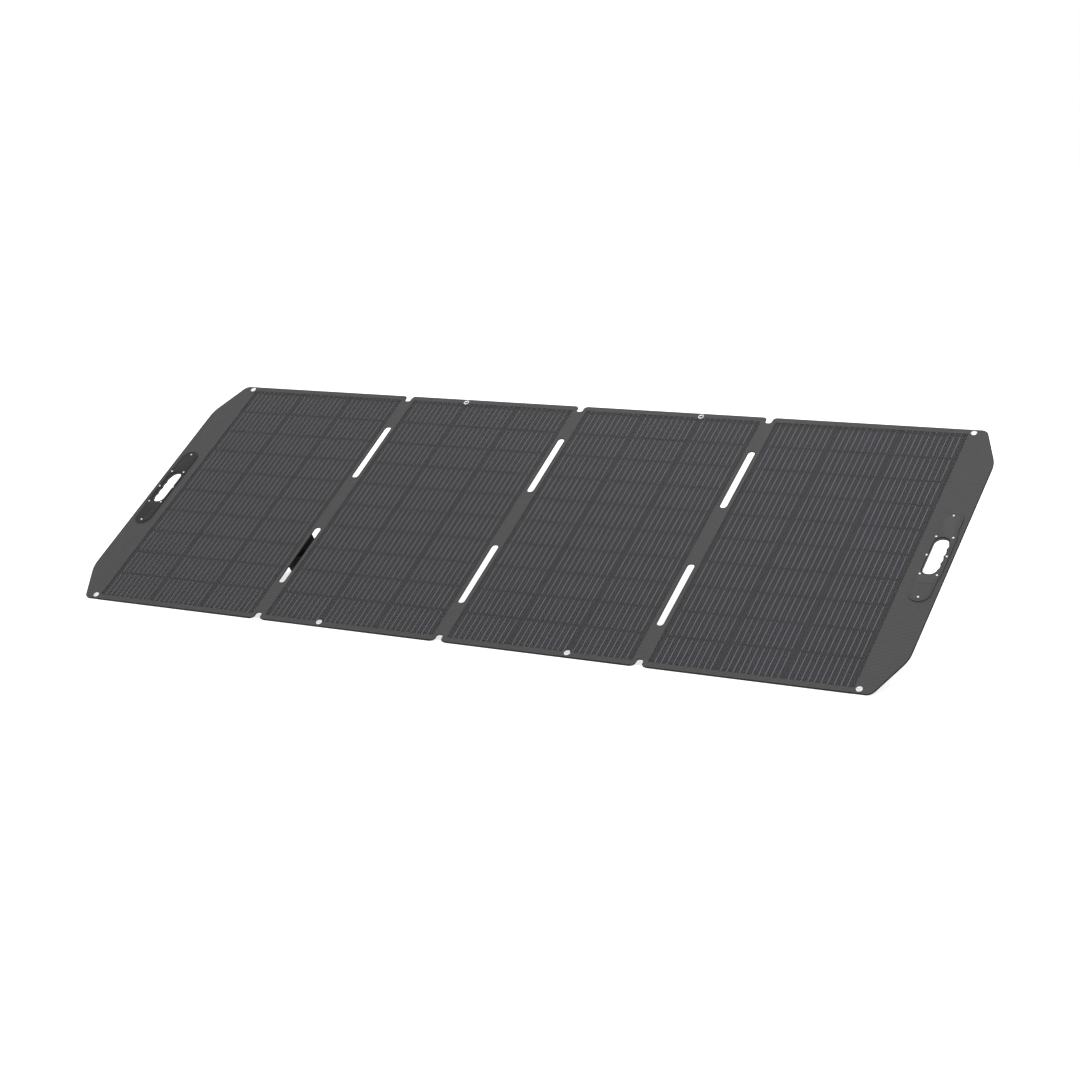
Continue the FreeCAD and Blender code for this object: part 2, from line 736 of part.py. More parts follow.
def leg_board(leaf):
    """A flat board that hangs from the pin by two knuckles."""
    body = new_body(f"leg_board_{ENDS[leaf]}")
    bracket_knuckles, leg_knuckles = knuckle_runs()
    start = leg_start(leaf)
    shoulder = "-(Sizes.leg_hinge_back + Sizes.knuckle_radius + 2.5)"
    end = "-Sizes.leg_end_back"
    sketch = new_sketch(body, role="XZ_Plane", offset=f"-{HINGE_UP} - Sizes.leg_thick / 2")
    rectangle(sketch, start, end, "Sizes.leg_wide", f"({shoulder}) - ({end})")
    pad(body, sketch, "Sizes.leg_thick")
    for run_start, run_long in leg_knuckles:
        place = f"{start} + {run_start}"
        sketch = new_sketch(body, role="YZ_Plane", offset=place)
        low = f"({HINGE_UP} - Sizes.leg_thick / 2)"
        rectangle(sketch, low, shoulder, "Sizes.leg_thick", f"{HINGE_BACK} - ({shoulder})")
        pad(body, sketch, run_long)
        sketch = new_sketch(body, role="YZ_Plane", offset=place)
        circle(sketch, HINGE_UP, HINGE_BACK, "Sizes.knuckle_radius")
        pad(body, sketch, run_long)
    sketch = new_sketch(body, role="YZ_Plane", offset=start)
    circle(sketch, HINGE_UP, HINGE_BACK, "Sizes.hinge_pin_radius + Sizes.hinge_pin_play")
    pocket(body, sketch)


def ground_back(up):
    """n where the ground passes under the place up."""
    return f"-(({up}) * tan(Sizes.tilt * 1 deg) + {LEAF_BACK})"


def leg_foot(leaf):
    """A rubber channel pushed on the board's end, its sole cut to lie on the ground."""
    body = new_body(f"leg_foot_{ENDS[leaf]}")
    sketch = new_sketch(body, role="YZ_Plane", offset=leg_start(leaf))
    top = "-(Sizes.leg_end_back - Sizes.foot_high * 0.75)"
    end = "-Sizes.leg_end_back"
    front = f"({HINGE_UP} - Sizes.foot_thick / 2)"
    back = f"({HINGE_UP} + Sizes.foot_thick / 2)"
    inner_front = f"({HINGE_UP} - Sizes.leg_thick / 2)"
    inner_back = f"({HINGE_UP} + Sizes.leg_thick / 2)"
    outline = [(front, top), (front, ground_back(front)), (back, ground_back(back)), (back, top)]
    outline += [(inner_back, top), (inner_back, end), (inner_front, end), (inner_front, top)]
    polygon(sketch, outline)
    pad(body, sketch, "Sizes.leg_wide")


def leg_strap(leaf):
    """The webbing that stops the leg: a tab on the leaf, a taut run and a tab on the leg."""
    body = new_body(f"leg_strap_{ENDS[leaf]}")
    start = f"({leaf_centre(leaf)} - Sizes.strap_wide / 2)"
    sketch = new_sketch(body, role="YZ_Plane", offset=start)
    face = f"({HINGE_UP} - Sizes.leg_thick / 2)"
    thick = "Sizes.strap_thick"
    leaf_face = f"-{LEAF_BACK}"
    tab_low = "(Sizes.strap_up - Sizes.strap_tab)"
    outline = [(tab_low, leaf_face), ("Sizes.strap_up", leaf_face), (face, "-Sizes.strap_back")]
    outline += [(face, "-(Sizes.strap_back + Sizes.strap_tab)")]
    outline += [(f"{face} - {thick}", "-(Sizes.strap_back + Sizes.strap_tab)")]
    outline += [(f"{face} - {thick}", f"-(Sizes.strap_back + 0.4 * {thick})")]
    outline += [(f"Sizes.strap_up - 0.4 * {thick}", f"{leaf_face} - {thick}")]
    outline += [(tab_low, f"{leaf_face} - {thick}")]
    polygon(sketch, outline)
    pad(body, sketch, "Sizes.strap_wide")


# ---- the junction box on the back of the last leaf ---------------------------------------------------

BOX_LEAF = 4
BOX_ALONG = f"({leaf_centre(BOX_LEAF)} - Sizes.box_long / 2)"
BOX_OPEN = f"({LEAF_BACK} + Sizes.box_deep)"
GLAND_UP = "(Sizes.box_up + Sizes.box_high / 2)"
GLAND_BACK = f"-({LEAF_BACK} + Sizes.box_deep / 2)"


def lid_screw_circles(sketch, radius):
    for across in ("Sizes.lid_screw_inset", "Sizes.box_long - Sizes.lid_screw_inset"):
        for up in ("Sizes.lid_screw_inset", "Sizes.box_high - Sizes.lid_screw_inset"):
            circle(sketch, f"{BOX_ALONG} + {across}", f"Sizes.box_up + {up}", radius)


def box_corners():
    right = f"({BOX_ALONG} + Sizes.box_long)"
    top = "(Sizes.box_up + Sizes.box_high)"
    return [(x, v) for x in (BOX_ALONG, right) for v in ("Sizes.box_up", top)]


def junction_box():
    """A tray with four screw posts, open away from the leaf."""
    leaf_face = f"-{LEAF_BACK}"
    long, high = "Sizes.box_long", "Sizes.box_high"
    body = slab("junction_box", BOX_ALONG, "Sizes.box_up", long, high, leaf_face, "Sizes.box_deep")
    round_corners(body, box_corners(), "Sizes.box_radius")
    wall = "Sizes.box_wall"
    post = "(2 * Sizes.lid_screw_inset)"
    floor = f"-({LEAF_BACK} + {wall})"
    sketch = new_sketch(body, offset=floor)
    left = f"({BOX_ALONG} + {wall})"
    right = f"({BOX_ALONG} + Sizes.box_long - {wall})"
    low = f"(Sizes.box_up + {wall})"
    top = f"(Sizes.box_up + Sizes.box_high - {wall})"
    post_left = f"({BOX_ALONG} + {post})"
    post_right = f"({BOX_ALONG} + Sizes.box_long - {post})"
    post_low = f"(Sizes.box_up + {post})"
    post_top = f"(Sizes.box_up + Sizes.box_high - {post})"
    outline = [(post_left, low), (post_right, low), (post_right, post_low), (right, post_low)]
    outline += [(right, post_top), (post_right, post_top), (post_right, top), (post_left, top)]
    outline += [(post_left, post_top), (left, post_top), (left, post_low), (post_left, post_low)]
    polygon(sketch, outline)
    pocket(body, sketch)
    # the floor is put back once the cavity has gone right through
    sketch = new_sketch(body, offset=leaf_face)
    rectangle(sketch, left, low, f"Sizes.box_long - 2 * {wall}", f"Sizes.box_high - 2 * {wall}")
    pad(body, sketch, wall, backwards=True)
    sketch = new_sketch(body)
    lid_screw_circles(sketch, "Sizes.lid_screw_radius")
    pocket(body, sketch)
    sketch = new_sketch(body, role="YZ_Plane", offset=f"{BOX_ALONG} + Sizes.box_long")
    circle(sketch, GLAND_UP, GLAND_BACK, "Sizes.gland_thread_radius")
    pocket(body, sketch, f"1.5 * {wall}")


def junction_lid():
    front = f"-{BOX_OPEN}"
    long, high = "Sizes.box_long", "Sizes.box_high"
    body = slab("junction_lid", BOX_ALONG, "Sizes.box_up", long, high, front, "Sizes.lid_thick")
    round_corners(body, box_corners(), "Sizes.box_radius")
    round_rim(body, value(f"-{BOX_OPEN} - Sizes.lid_thick"), "Sizes.lid_thick * 0.5")
    sketch = new_sketch(body)
    lid_screw_circles(sketch, "Sizes.lid_screw_radius")
    pocket(body, sketch)


def lid_screws():
    body = new_body("lid_screws", many=True)
    lid_back = f"({BOX_OPEN} + Sizes.lid_thick)"
    sketch = new_sketch(body, offset=f"-{LEAF_BACK}")
    lid_screw_circles(sketch, "Sizes.lid_screw_radius")
    pad(body, sketch, f"{lid_back} - {LEAF_BACK}", backwards=True)
    sketch = new_sketch(body, offset=f"-{lid_back}")
    lid_screw_circles(sketch, "Sizes.lid_screw_head_radius")
    pad(body, sketch, "Sizes.rivet_head_thick", backwards=True)
    round_rim(body, value(f"-{lid_back} - Sizes.rivet_head_thick"), "Sizes.rivet_head_thick * 0.6")


def cable_gland():
    """A screwed inlet on the box's outer side: a thread, a nut and a bore for the cord."""
    body = new_body("cable_gland")
    face = f"({BOX_ALONG} + Sizes.box_long)"
    layers = [
        (f"{face} - Sizes.box_wall", "Sizes.box_wall", "Sizes.gland_thread_radius"),
        (face, "0.45 * Sizes.gland_long", "Sizes.gland_radius"),
        (f"{face} + 0.45 * Sizes.gland_long", "0.55 * Sizes.gland_long", "0.85 * Sizes.gland_radius"),
    ]
    for start, long, radius in layers:
        sketch = new_sketch(body, role="YZ_Plane", offset=start)
        circle(sketch, GLAND_UP, GLAND_BACK, radius)
        pad(body, sketch, long)
    sketch = new_sketch(body, role="YZ_Plane", offset=face)
    circle(sketch, GLAND_UP, GLAND_BACK, "Sizes.gland_bore_radius")
    pocket(body, sketch)


def diode_board():
    """A small circuit board on the box's floor with three flat diodes."""
    clear = "(Sizes.box_wall + 2 * Sizes.lid_screw_inset)"
    along = f"({BOX_ALONG} + {clear})"
    front = f"-({LEAF_BACK} + Sizes.box_wall)"
    low = f"(Sizes.box_up + {clear})"
    long = f"Sizes.box_long - 2 * {clear}"
    high = f"Sizes.box_high - 2 * {clear}"
    body = slab("diode_board", along, low, long, high, front, "Sizes.diode_board_thick")
    for share in (0.15, 0.42, 0.69):
        sketch = new_sketch(body, offset=f"{front} - Sizes.diode_board_thick")
        diode_along = f"({along} + {share} * ({long}))"
        rectangle(sketch, diode_along, f"{low} + 0.2 * ({high})", f"0.16 * ({long})", f"0.6 * ({high})")
        pad(body, sketch, "1.5 * Sizes.diode_board_thick", backwards=True)


# ---- build -------------------------------------------------------------------------------------------

for leaf in LEAVES:
    base_sheet(leaf)
    window_slab(f"core_board_{leaf}", leaf, f"{CELL_TOP} - Sizes.cell_thick", "Sizes.core_thick")
    cell_array(leaf)
    cell_ribbons(leaf)
    window_slab(f"top_film_{leaf}", leaf, "0", "Sizes.film_thick")
    back_cover(leaf)
    eyelets(leaf)
for fold in FOLDS:
    fold_web(fold)
    jumper_ribbons(fold)
for leaf, name in ENDS.items():
    front_face = "Sizes.handle_front_thick"
    back_face = "-(Sizes.sheet_thick + Sizes.handle_back_thick)"
    handle_plate(f"handle_front_{name}", leaf, front_face, "Sizes.handle_front_thick", front_face)
    handle_plate(f"handle_back_{name}", leaf, "-Sizes.sheet_thick", "Sizes.handle_back_thick", back_face)
    handle_rivets(leaf)
    leg_bracket(leaf)
    bracket_rivets(leaf)
    leg_pin(leaf)
    leg_board(leaf)
    leg_foot(leaf)
    leg_strap(leaf)
junction_box()
junction_lid()
lid_screws()
cable_gland()
diode_board()

# The tilt stands the panel on its back lower edge and its feet, centred over the origin.
lean = math.radians(value("Sizes.tilt"))
reach = value("Sizes.panel_depth") * math.cos(lean) + value(LEAF_BACK) * math.sin(lean)
stand = V(-value(ROW_LENGTH) / 2, -reach / 2, value(LEAF_BACK) * math.cos(lean))
for body in parts:
    body.Placement = FreeCAD.Placement(stand, FreeCAD.Rotation(V(1, 0, 0), value("Sizes.tilt")))
doc.recompute()

for item in doc.Objects:
    if "Invalid" in item.State or "Error" in item.State:
        raise RuntimeError(f"{item.Label} of {item.TypeId} failed: {item.State}")
for body in parts:
    shape = body.Shape
    if shape.isNull() or not shape.isValid() or not shape.Solids:
        raise RuntimeError(f"{body.Label} has no valid solid")

os.makedirs("parts", exist_ok=True)
for body in parts:
    body.Shape.exportStep(os.path.join("parts", f"{body.Label}.step"))
    print(f"{body.Label}: {len(body.Shape.Solids)} solids, {body.Shape.Volume / 1000:.2f} cm3")
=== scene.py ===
import bmesh
import bpy
import json
import math
from mathutils import Matrix, Vector


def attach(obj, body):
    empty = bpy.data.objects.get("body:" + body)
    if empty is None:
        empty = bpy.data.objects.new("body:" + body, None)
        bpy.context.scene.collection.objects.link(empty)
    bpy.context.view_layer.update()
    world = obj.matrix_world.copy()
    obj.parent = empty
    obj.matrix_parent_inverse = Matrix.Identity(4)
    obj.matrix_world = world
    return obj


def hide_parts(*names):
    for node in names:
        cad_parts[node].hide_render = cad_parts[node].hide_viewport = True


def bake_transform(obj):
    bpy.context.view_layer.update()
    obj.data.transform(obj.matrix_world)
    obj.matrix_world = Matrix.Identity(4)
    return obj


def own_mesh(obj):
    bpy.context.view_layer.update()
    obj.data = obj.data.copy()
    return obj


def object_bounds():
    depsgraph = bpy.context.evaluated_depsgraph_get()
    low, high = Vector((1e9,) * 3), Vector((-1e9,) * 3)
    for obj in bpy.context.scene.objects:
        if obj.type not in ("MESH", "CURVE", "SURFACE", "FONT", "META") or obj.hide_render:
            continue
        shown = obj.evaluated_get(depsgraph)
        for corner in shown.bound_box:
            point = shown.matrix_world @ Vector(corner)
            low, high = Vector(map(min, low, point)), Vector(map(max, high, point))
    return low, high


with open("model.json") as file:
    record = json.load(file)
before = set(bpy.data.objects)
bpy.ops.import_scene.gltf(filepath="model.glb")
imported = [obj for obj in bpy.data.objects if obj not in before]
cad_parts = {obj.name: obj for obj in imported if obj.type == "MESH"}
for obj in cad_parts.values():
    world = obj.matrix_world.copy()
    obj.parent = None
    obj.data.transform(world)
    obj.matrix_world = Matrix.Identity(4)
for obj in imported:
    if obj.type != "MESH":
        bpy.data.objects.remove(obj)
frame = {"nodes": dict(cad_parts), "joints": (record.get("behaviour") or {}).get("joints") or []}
cad_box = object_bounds()

# A four-leaf folding solar panel, opened flat and leaning back on two kickstands.
#
# Everything is worked out in the panel's own flat axes: x along the row of leaves, v up the slope,
# and n out of the front face. They are only a turn of the row frame, so a point's flat place is its
# dot product with each axis. Lengths are in metres; a material's pattern is in millimetres.

MM = 0.001
JOINTS = {joint["name"]: joint for joint in frame["joints"]}
ALONG = Vector((1, 0, 0))
UP = Vector(JOINTS["fold_3"]["axis"]).normalized()
OUT = ALONG.cross(UP)
TILT = math.atan2(UP.z, UP.y)
TO_ROW = Matrix((ALONG, UP, OUT)).transposed()
LEAVES = (1, 2, 3, 4)
SIDES = {"left": "leaf_1", "right": "leaf_4"}


def span(node):
    """Lowest and highest corner of a CAD node in the flat axes."""
    places = [TO_ROW.transposed() @ vertex.co for vertex in frame["nodes"][node].data.vertices]
    low = Vector(min(place[i] for place in places) for i in range(3))
    high = Vector(max(place[i] for place in places) for i in range(3))
    return low, high


def flat_point(x, v, n):
    """A point of the flat axes as a point of the row frame."""
    return TO_ROW @ Vector((x, v, n))


# ---------------------------------------------------------------- the view

VIEW_AZIMUTH = 30.248
VIEW_ELEVATION = 9.393
VIEW_DISTANCE = 5.7184
VIEW_LENS = 72.84
AIM_FROM_CENTRE = Vector((0.0653, 0.0278, -0.0552))


def make_camera():
    azimuth, elevation = math.radians(VIEW_AZIMUTH), math.radians(VIEW_ELEVATION)
    back = Vector((
        math.sin(azimuth) * math.cos(elevation),
        -math.cos(azimuth) * math.cos(elevation),
        math.sin(elevation),
    ))
    centre = (cad_box[0] + cad_box[1]) / 2
    camera = bpy.data.objects.new("view", bpy.data.cameras.new("view"))
    camera.data.lens = VIEW_LENS
    camera.data.clip_end = 200
    camera.location = centre + AIM_FROM_CENTRE + back * VIEW_DISTANCE
    camera.rotation_mode = "QUATERNION"
    camera.rotation_quaternion = (-back).to_track_quat("-Z", "Y")
    bpy.context.scene.collection.objects.link(camera)
    bpy.context.scene.camera = camera


# ---------------------------------------------------------------- materials

class Paint:
    """A node material with one Principled shader, and short calls for the nodes that feed it."""

    def __init__(self, name, colour, roughness, on_uv=False):
        self.material = bpy.data.materials.new(name)
        self.material.use_nodes = True
        self.nodes = self.material.node_tree.nodes
        self.links = self.material.node_tree.links
        self.shader = self.nodes["Principled BSDF"]
        self.set("Base Color", (*colour, 1))
        self.set("Roughness", roughness)
        self.place = self.flat_millimetres(on_uv)

    def set(self, socket, value):
        self.shader.inputs[socket].default_value = value

    def feed(self, socket, source):
        self.links.new(source, self.shader.inputs[socket])

    def make(self, kind, inputs=None, **settings):
        node = self.nodes.new(kind)
        for key, value in settings.items():
            setattr(node, key, value)
        for key, value in (inputs or {}).items():
            if isinstance(value, bpy.types.NodeSocket):
                self.links.new(value, node.inputs[key])
            else:
                node.inputs[key].default_value = value
        return node

    def flat_millimetres(self, on_uv):
        """The flat place on a piece: from its map if it bends, else from its row-frame place."""
        source = self.make("ShaderNodeTexCoord").outputs["UV" if on_uv else "Object"]
        turn = (0, 0, 0) if on_uv else (-TILT, 0, 0)
        mapping = {"Vector": source, "Rotation": turn, "Scale": (1000, 1000, 1000)}
        return self.make("ShaderNodeMapping", mapping).outputs[0]

    def math(self, operation, a, b=0.0):
        return self.make("ShaderNodeMath", {0: a, 1: b}, operation=operation).outputs[0]

    def sum_of(self, *parts):
        """The sum of two (value, factor) parts."""
        return self.math("ADD", *(self.math("MULTIPLY", value, factor) for value, factor in parts))

    def waves(self, direction, period):
        """Even stripes across a direction, from 0 to 1."""
        step = tuple(2 * math.pi / period * part for part in Vector(direction).normalized())
        dot = self.make("ShaderNodeVectorMath", {0: self.place, 1: step}, operation="DOT_PRODUCT")
        sine = self.math("SINE", dot.outputs["Value"])
        return self.math("ADD", self.math("MULTIPLY", sine, 0.5), 0.5)

    def twill(self, yarn):
        """A two-and-two twill of yarns that wide: 0 in the gaps, highest on a warp yarn's crown."""
        parts = self.make("ShaderNodeSeparateXYZ", {0: self.place})
        across, up = [self.math("DIVIDE", parts.outputs[i], yarn) for i in (0, 1)]
        count = self.math("ADD", self.math("FLOOR", across), self.math("FLOOR", up))
        warp_over = self.math("LESS_THAN", self.math("FLOORED_MODULO", count, 4.0), 2.0)
        crowns = []
        for place, height in ((across, 1.0), (up, 0.7)):
            offset = self.math("ABSOLUTE", self.math("SUBTRACT", self.math("FRACT", place), 0.5))
            fall = self.math("MULTIPLY", self.math("POWER", offset, 2.0), 3.2)
            crown = self.math("SUBTRACT", 1.0, fall)
            crowns.append(self.math("MULTIPLY", crown, height))
        wanted = {"Factor": warp_over, 2: crowns[1], 3: crowns[0]}
        return self.make("ShaderNodeMix", wanted).outputs[0]

    def noise(self, size, detail=2.0, stretch=(1, 1, 1)):
        """Cloudy noise from 0 to 1, with features of about that size."""
        factors = {0: self.place, 1: stretch}
        scaled = self.make("ShaderNodeVectorMath", factors, operation="MULTIPLY").outputs[0]
        wanted = {"Vector": scaled, "Scale": 1 / size, "Detail": detail}
        return self.make("ShaderNodeTexNoise", wanted).outputs["Fac"]

    def ramp(self, value, low, high):
        """A number from 0 to 1 turned into one from low to high."""
        wanted = {"Value": value, "To Min": low, "To Max": high}
        return self.make("ShaderNodeMapRange", wanted).outputs[0]

    def colour_between(self, share, first, second):
        """A colour between two, each given as three numbers or as another node's colour."""
        wanted = {"Factor": share}
        for place, end in ((6, first), (7, second)):
            wanted[place] = end if isinstance(end, bpy.types.NodeSocket) else (*end, 1)
        return self.make("ShaderNodeMix", wanted, data_type="RGBA").outputs[2]

    def bump(self, height, distance, strength=1.0):
        wanted = {"Height": height, "Distance": distance, "Strength": strength}
        self.feed("Normal", self.make("ShaderNodeBump", wanted).outputs[0])

    def faces_out(self):
        """1 on a face that looks along the panel's normal and 0 on its cut edges."""
        normal = self.make("ShaderNodeTexCoord").outputs["Normal"]
        dot = self.make("ShaderNodeVectorMath", {0: normal, 1: OUT}, operation="DOT_PRODUCT")
        facing = self.math("ABSOLUTE", dot.outputs["Value"])
        wanted = {"Value": facing, "From Min": 0.8, "From Max": 0.97}
        return self.make("ShaderNodeMapRange", wanted).outputs[0]


def grey(level, blue=0.0):
    return (level, level, level + blue)


def twill_paint(name, level, on_uv=False):
    """Laminated cloth: a two-and-two twill of grey yarn in broad diagonal ribs, with painted shade
    in the gaps between yarns and a painted sheen that makes warp yarns lighter than weft.
    """
    paint = Paint(name, grey(level), 0.6, on_uv)
    ribs = paint.waves((-0.46, 1, 0), 11.2)
    yarn_relief_and_shading = paint.twill(0.8)
    # Painted shade and sheen: the yarns' height darkens the gaps and lightens warp crowns in the
    # colour.
    shade = paint.sum_of((yarn_relief_and_shading, 0.72), (ribs, 0.28))
    paint.feed("Base Color", paint.colour_between(shade, grey(level * 0.7), grey(level * 1.3)))
    paint.feed("Roughness", paint.ramp(paint.noise(25), 0.5, 0.68))
    paint.set("Specular IOR Level", 0.3)
    paint.bump(yarn_relief_and_shading, 0.00012, 0.6)
    return paint.material


def canvas_paint(name, level, period=1.1, on_uv=False, sheen=0.1):
    """Plain woven polyester cloth, over and under, with a little sheen."""
    paint = Paint(name, grey(level), 0.8, on_uv)
    over = paint.math("MULTIPLY", paint.waves((1, 0, 0), period), paint.waves((0, 1, 0), period))
    cloud = paint.math("ADD", paint.noise(14, 4), paint.noise(2.5, 2))
    shade = paint.sum_of((over, 0.3), (cloud, 0.35))
    paint.feed("Base Color", paint.colour_between(shade, grey(level * 0.65), grey(level * 1.4)))
    paint.feed("Roughness", paint.ramp(paint.noise(30), 0.7, 0.9))
    paint.set("Specular IOR Level", 0.2 if sheen else 0.08)
    paint.set("Sheen Weight", sheen)
    paint.set("Sheen Roughness", 0.5)
    paint.bump(over, 0.0001, 0.4)
    return paint.material


def cell_paint():
    """Silicon: near-black blue with faint slanting and cloudy texture and hair-thin fingers."""
    paint = Paint("cell", grey(0.034, 0.006), 0.4)
    fingers = paint.math("GREATER_THAN", paint.waves((0, 1, 0), 1.6), 0.93)
    hatch = paint.waves((1, 0.8, 0), 2.8)
    patches = {"Vector": paint.place, "Scale": 1 / 120}
    patch = paint.make("ShaderNodeTexVoronoi", patches).outputs["Distance"]
    shade = paint.sum_of((hatch, 0.4), (patch, 0.5))
    dark = paint.colour_between(shade, (0.031, 0.031, 0.035), (0.037, 0.037, 0.045))
    faint = paint.math("MULTIPLY", fingers, 0.05)
    paint.feed("Base Color", paint.colour_between(faint, dark, grey(0.2)))
    paint.feed("Roughness", paint.ramp(paint.noise(50), 0.35, 0.45))
    paint.set("Specular IOR Level", 0.15)
    return paint.material


def core_paint():
    """The black backing board between and around the cells."""
    paint = Paint("core_black", grey(0.036), 0.6)
    cloud = paint.noise(40, 3)
    paint.feed("Base Color", paint.colour_between(cloud, grey(0.033), grey(0.038)))
    paint.feed("Roughness", paint.ramp(cloud, 0.55, 0.7))
    paint.set("Specular IOR Level", 0.15)
    return paint.material


def film_paint():
    """Clear-ish front film with a matte face, embossed with a fine diagonal grid."""
    paint = Paint("front_film", grey(0.05, 0.003), 0.5)
    grid = paint.math("MULTIPLY", paint.waves((1, 1, 0), 2.8), paint.waves((1, -1, 0), 2.8))
    colour = paint.colour_between(paint.noise(140), grey(0.045, 0.003), grey(0.055, 0.004))
    paint.feed("Base Color", colour)
    paint.feed("Roughness", paint.ramp(grid, 0.5, 0.58))
    paint.bump(grid, 0.00003, 0.2)
    paint.set("Specular IOR Level", 0.3)
    paint.set("Alpha", 0.08)
    return paint.material


def plastic_paint(name, level, gloss=0.3, shadow_walls=False):
    """Moulded plastic with a spark-eroded grain and faint scuffs; if asked, its side walls are
    painted near-black as a painted shadow.
    """
    paint = Paint(name, grey(level), 0.5)
    speckle = paint.noise(0.6, 3)
    scuffs = paint.noise(18, 4, (1, 0.25, 1))
    colour = paint.colour_between(scuffs, grey(level * 0.85), grey(level * 1.15))
    # Painted shadow: faces turned away from the panel's normal (side walls, rounded edges, bead
    # sides) go near-black.
    if shadow_walls:
        colour = paint.colour_between(paint.faces_out(), grey(0.006), colour)
    paint.feed("Base Color", colour)
    paint.feed("Roughness", paint.ramp(scuffs, 0.42, 0.62))
    paint.set("Specular IOR Level", gloss)
    paint.bump(speckle, 0.0001, 0.35)
    return paint.material


def metal_paint(name, level, roughness):
    """Bare metal with fine drawn marks and smudges."""
    paint = Paint(name, grey(level), roughness)
    marks = paint.noise(1.2, 3, (1, 8, 1))
    paint.set("Metallic", 1.0)
    bright = grey(min(1, level * 1.08))
    paint.feed("Base Color", paint.colour_between(marks, grey(level * 0.88), bright))
    paint.feed("Roughness", paint.ramp(paint.noise(6), roughness * 0.75, roughness * 1.3))
    paint.bump(marks, 0.00003, 0.3)
    return paint.material


def rubber_paint():
    # Black rubber, made darker still as painted shade for the shadow behind the panel.
    paint = Paint("rubber", grey(0.006), 0.75)
    dust = paint.noise(12, 4)
    paint.feed("Base Color", paint.colour_between(dust, grey(0.004), grey(0.012)))
    paint.feed("Roughness", paint.ramp(dust, 0.65, 0.9))
    paint.set("Specular IOR Level", 0.15)
    paint.bump(paint.noise(0.8), 0.0001, 0.5)
    return paint.material


def board_paint():
    """Green-black circuit board with copper traces under the mask."""
    paint = Paint("circuit", (0.02, 0.06, 0.03), 0.4)
    traces = paint.math("GREATER_THAN", paint.waves((1, 0, 0), 4.0), 0.7)
    paint.feed("Base Color", paint.colour_between(traces, (0.012, 0.05, 0.025), (0.03, 0.1, 0.045)))
    paint.bump(traces, 0.00005, 0.5)
    return paint.material


def ribbon_paint():
    """Tinned copper ribbon under the film."""
    paint = Paint("ribbon", grey(0.2), 0.5)
    marks = paint.noise(3, 3, (4, 1, 1))
    paint.feed("Base Color", paint.colour_between(marks, grey(0.17, 0.004), grey(0.23, 0.004)))
    paint.feed("Roughness", paint.ramp(marks, 0.45, 0.6))
    paint.set("Specular IOR Level", 0.3)
    return paint.material


def make_paints():
    return {
        "sheet": twill_paint("sheet_twill", 0.045),
        "web": twill_paint("web_twill", 0.045, on_uv=True),
        "core": core_paint(),
        "cell": cell_paint(),
        "ribbon": ribbon_paint(),
        "film": film_paint(),
        "cloth": canvas_paint("back_cloth", 0.022),
        # Black webbing, made darker still as painted shade for the shadow behind the panel.
        "strap": canvas_paint("strap_webbing", 0.006, 1.6, on_uv=True, sheen=0.0),
        "tape": canvas_paint("hem_tape", 0.016, 0.9),
        "thread": canvas_paint("thread", 0.05, 0.5),
        "sleeve": canvas_paint("sleeve_cloth", 0.03, 0.9, on_uv=True),
        "dark_plastic": plastic_paint("handle_dark", 0.016, 0.22),
        # The grey plate's side walls carry a painted shadow.
        "grey_plastic": plastic_paint("handle_grey", 0.048, shadow_walls=True),
        "box_plastic": plastic_paint("box_black", 0.02),
        # Near-black painted shade for the cut edges and the hand-hole walls.
        "edge_shade_black": plastic_paint("edge_shade_black", 0.004, 0.1),
        # Black cloth, made darker still as painted shade for the shadow behind the panel.
        "leg": canvas_paint("leg_cloth", 0.004, sheen=0.0),
        "rubber": rubber_paint(),
        "nickel": metal_paint("nickel", 0.85, 0.25),
        "aluminium": metal_paint("aluminium", 0.9, 0.3),
        "steel": metal_paint("steel", 0.5, 0.4),
        "circuit": board_paint(),
    }


NODE_PAINTS = {
    "base_sheet": "sheet",
    "core_board": "core",
    "cell_array": "cell",
    "cell_ribbons": "ribbon",
    "top_film": "film",
    "back_cover": "cloth",
    "eyelets": "nickel",
    "fold_web": "web",
    "jumper_ribbons": "sleeve",
    "handle_front_left": "dark_plastic",
    "handle_front_right": "grey_plastic",
    "handle_back": "dark_plastic",
    "handle_rivets": "aluminium",
    "leg_bracket": "steel",
    "bracket_rivets": "aluminium",
    "leg_pin": "steel",
    "leg_board": "leg",
    "leg_foot": "rubber",
    "leg_strap": "strap",
    "junction_box": "box_plastic",
    "junction_lid": "box_plastic",
    "lid_screws": "steel",
    "cable_gland": "box_plastic",
    "diode_board": "circuit",
}


def paint_nodes(paints):
    for name, piece in frame["nodes"].items():
        family = next(key for key in NODE_PAINTS if name.startswith(key))
        for slot in piece.material_slots:
            slot.material = paints[NODE_PAINTS[family]]


# ---------------------------------------------------------------- meshes in the flat axes

def new_piece(name, places, faces, paint):
    """A mesh piece from flat places; its map holds their x and v, so a pattern bends with it."""
    mesh = bpy.data.meshes.new(name)
    mesh.from_pydata([TO_ROW @ Vector(place) for place in places], [], faces)
    layer = mesh.uv_layers.new(name="flat")
    for loop in mesh.loops:
        layer.data[loop.index].uv = places[loop.vertex_index][:2]
    for polygon in mesh.polygons:
        polygon.use_smooth = True
    mesh.materials.append(paint)
    piece = bpy.data.objects.new(name, mesh)
    bpy.context.scene.collection.objects.link(piece)
    return piece


def grid_faces(columns, rows):
    """Faces between corners laid out column after column, front side along the panel's normal."""
    corners = [i * rows + j for i in range(columns - 1) for j in range(rows - 1)]
    return [(corner, corner + rows, corner + rows + 1, corner + 1) for corner in corners]


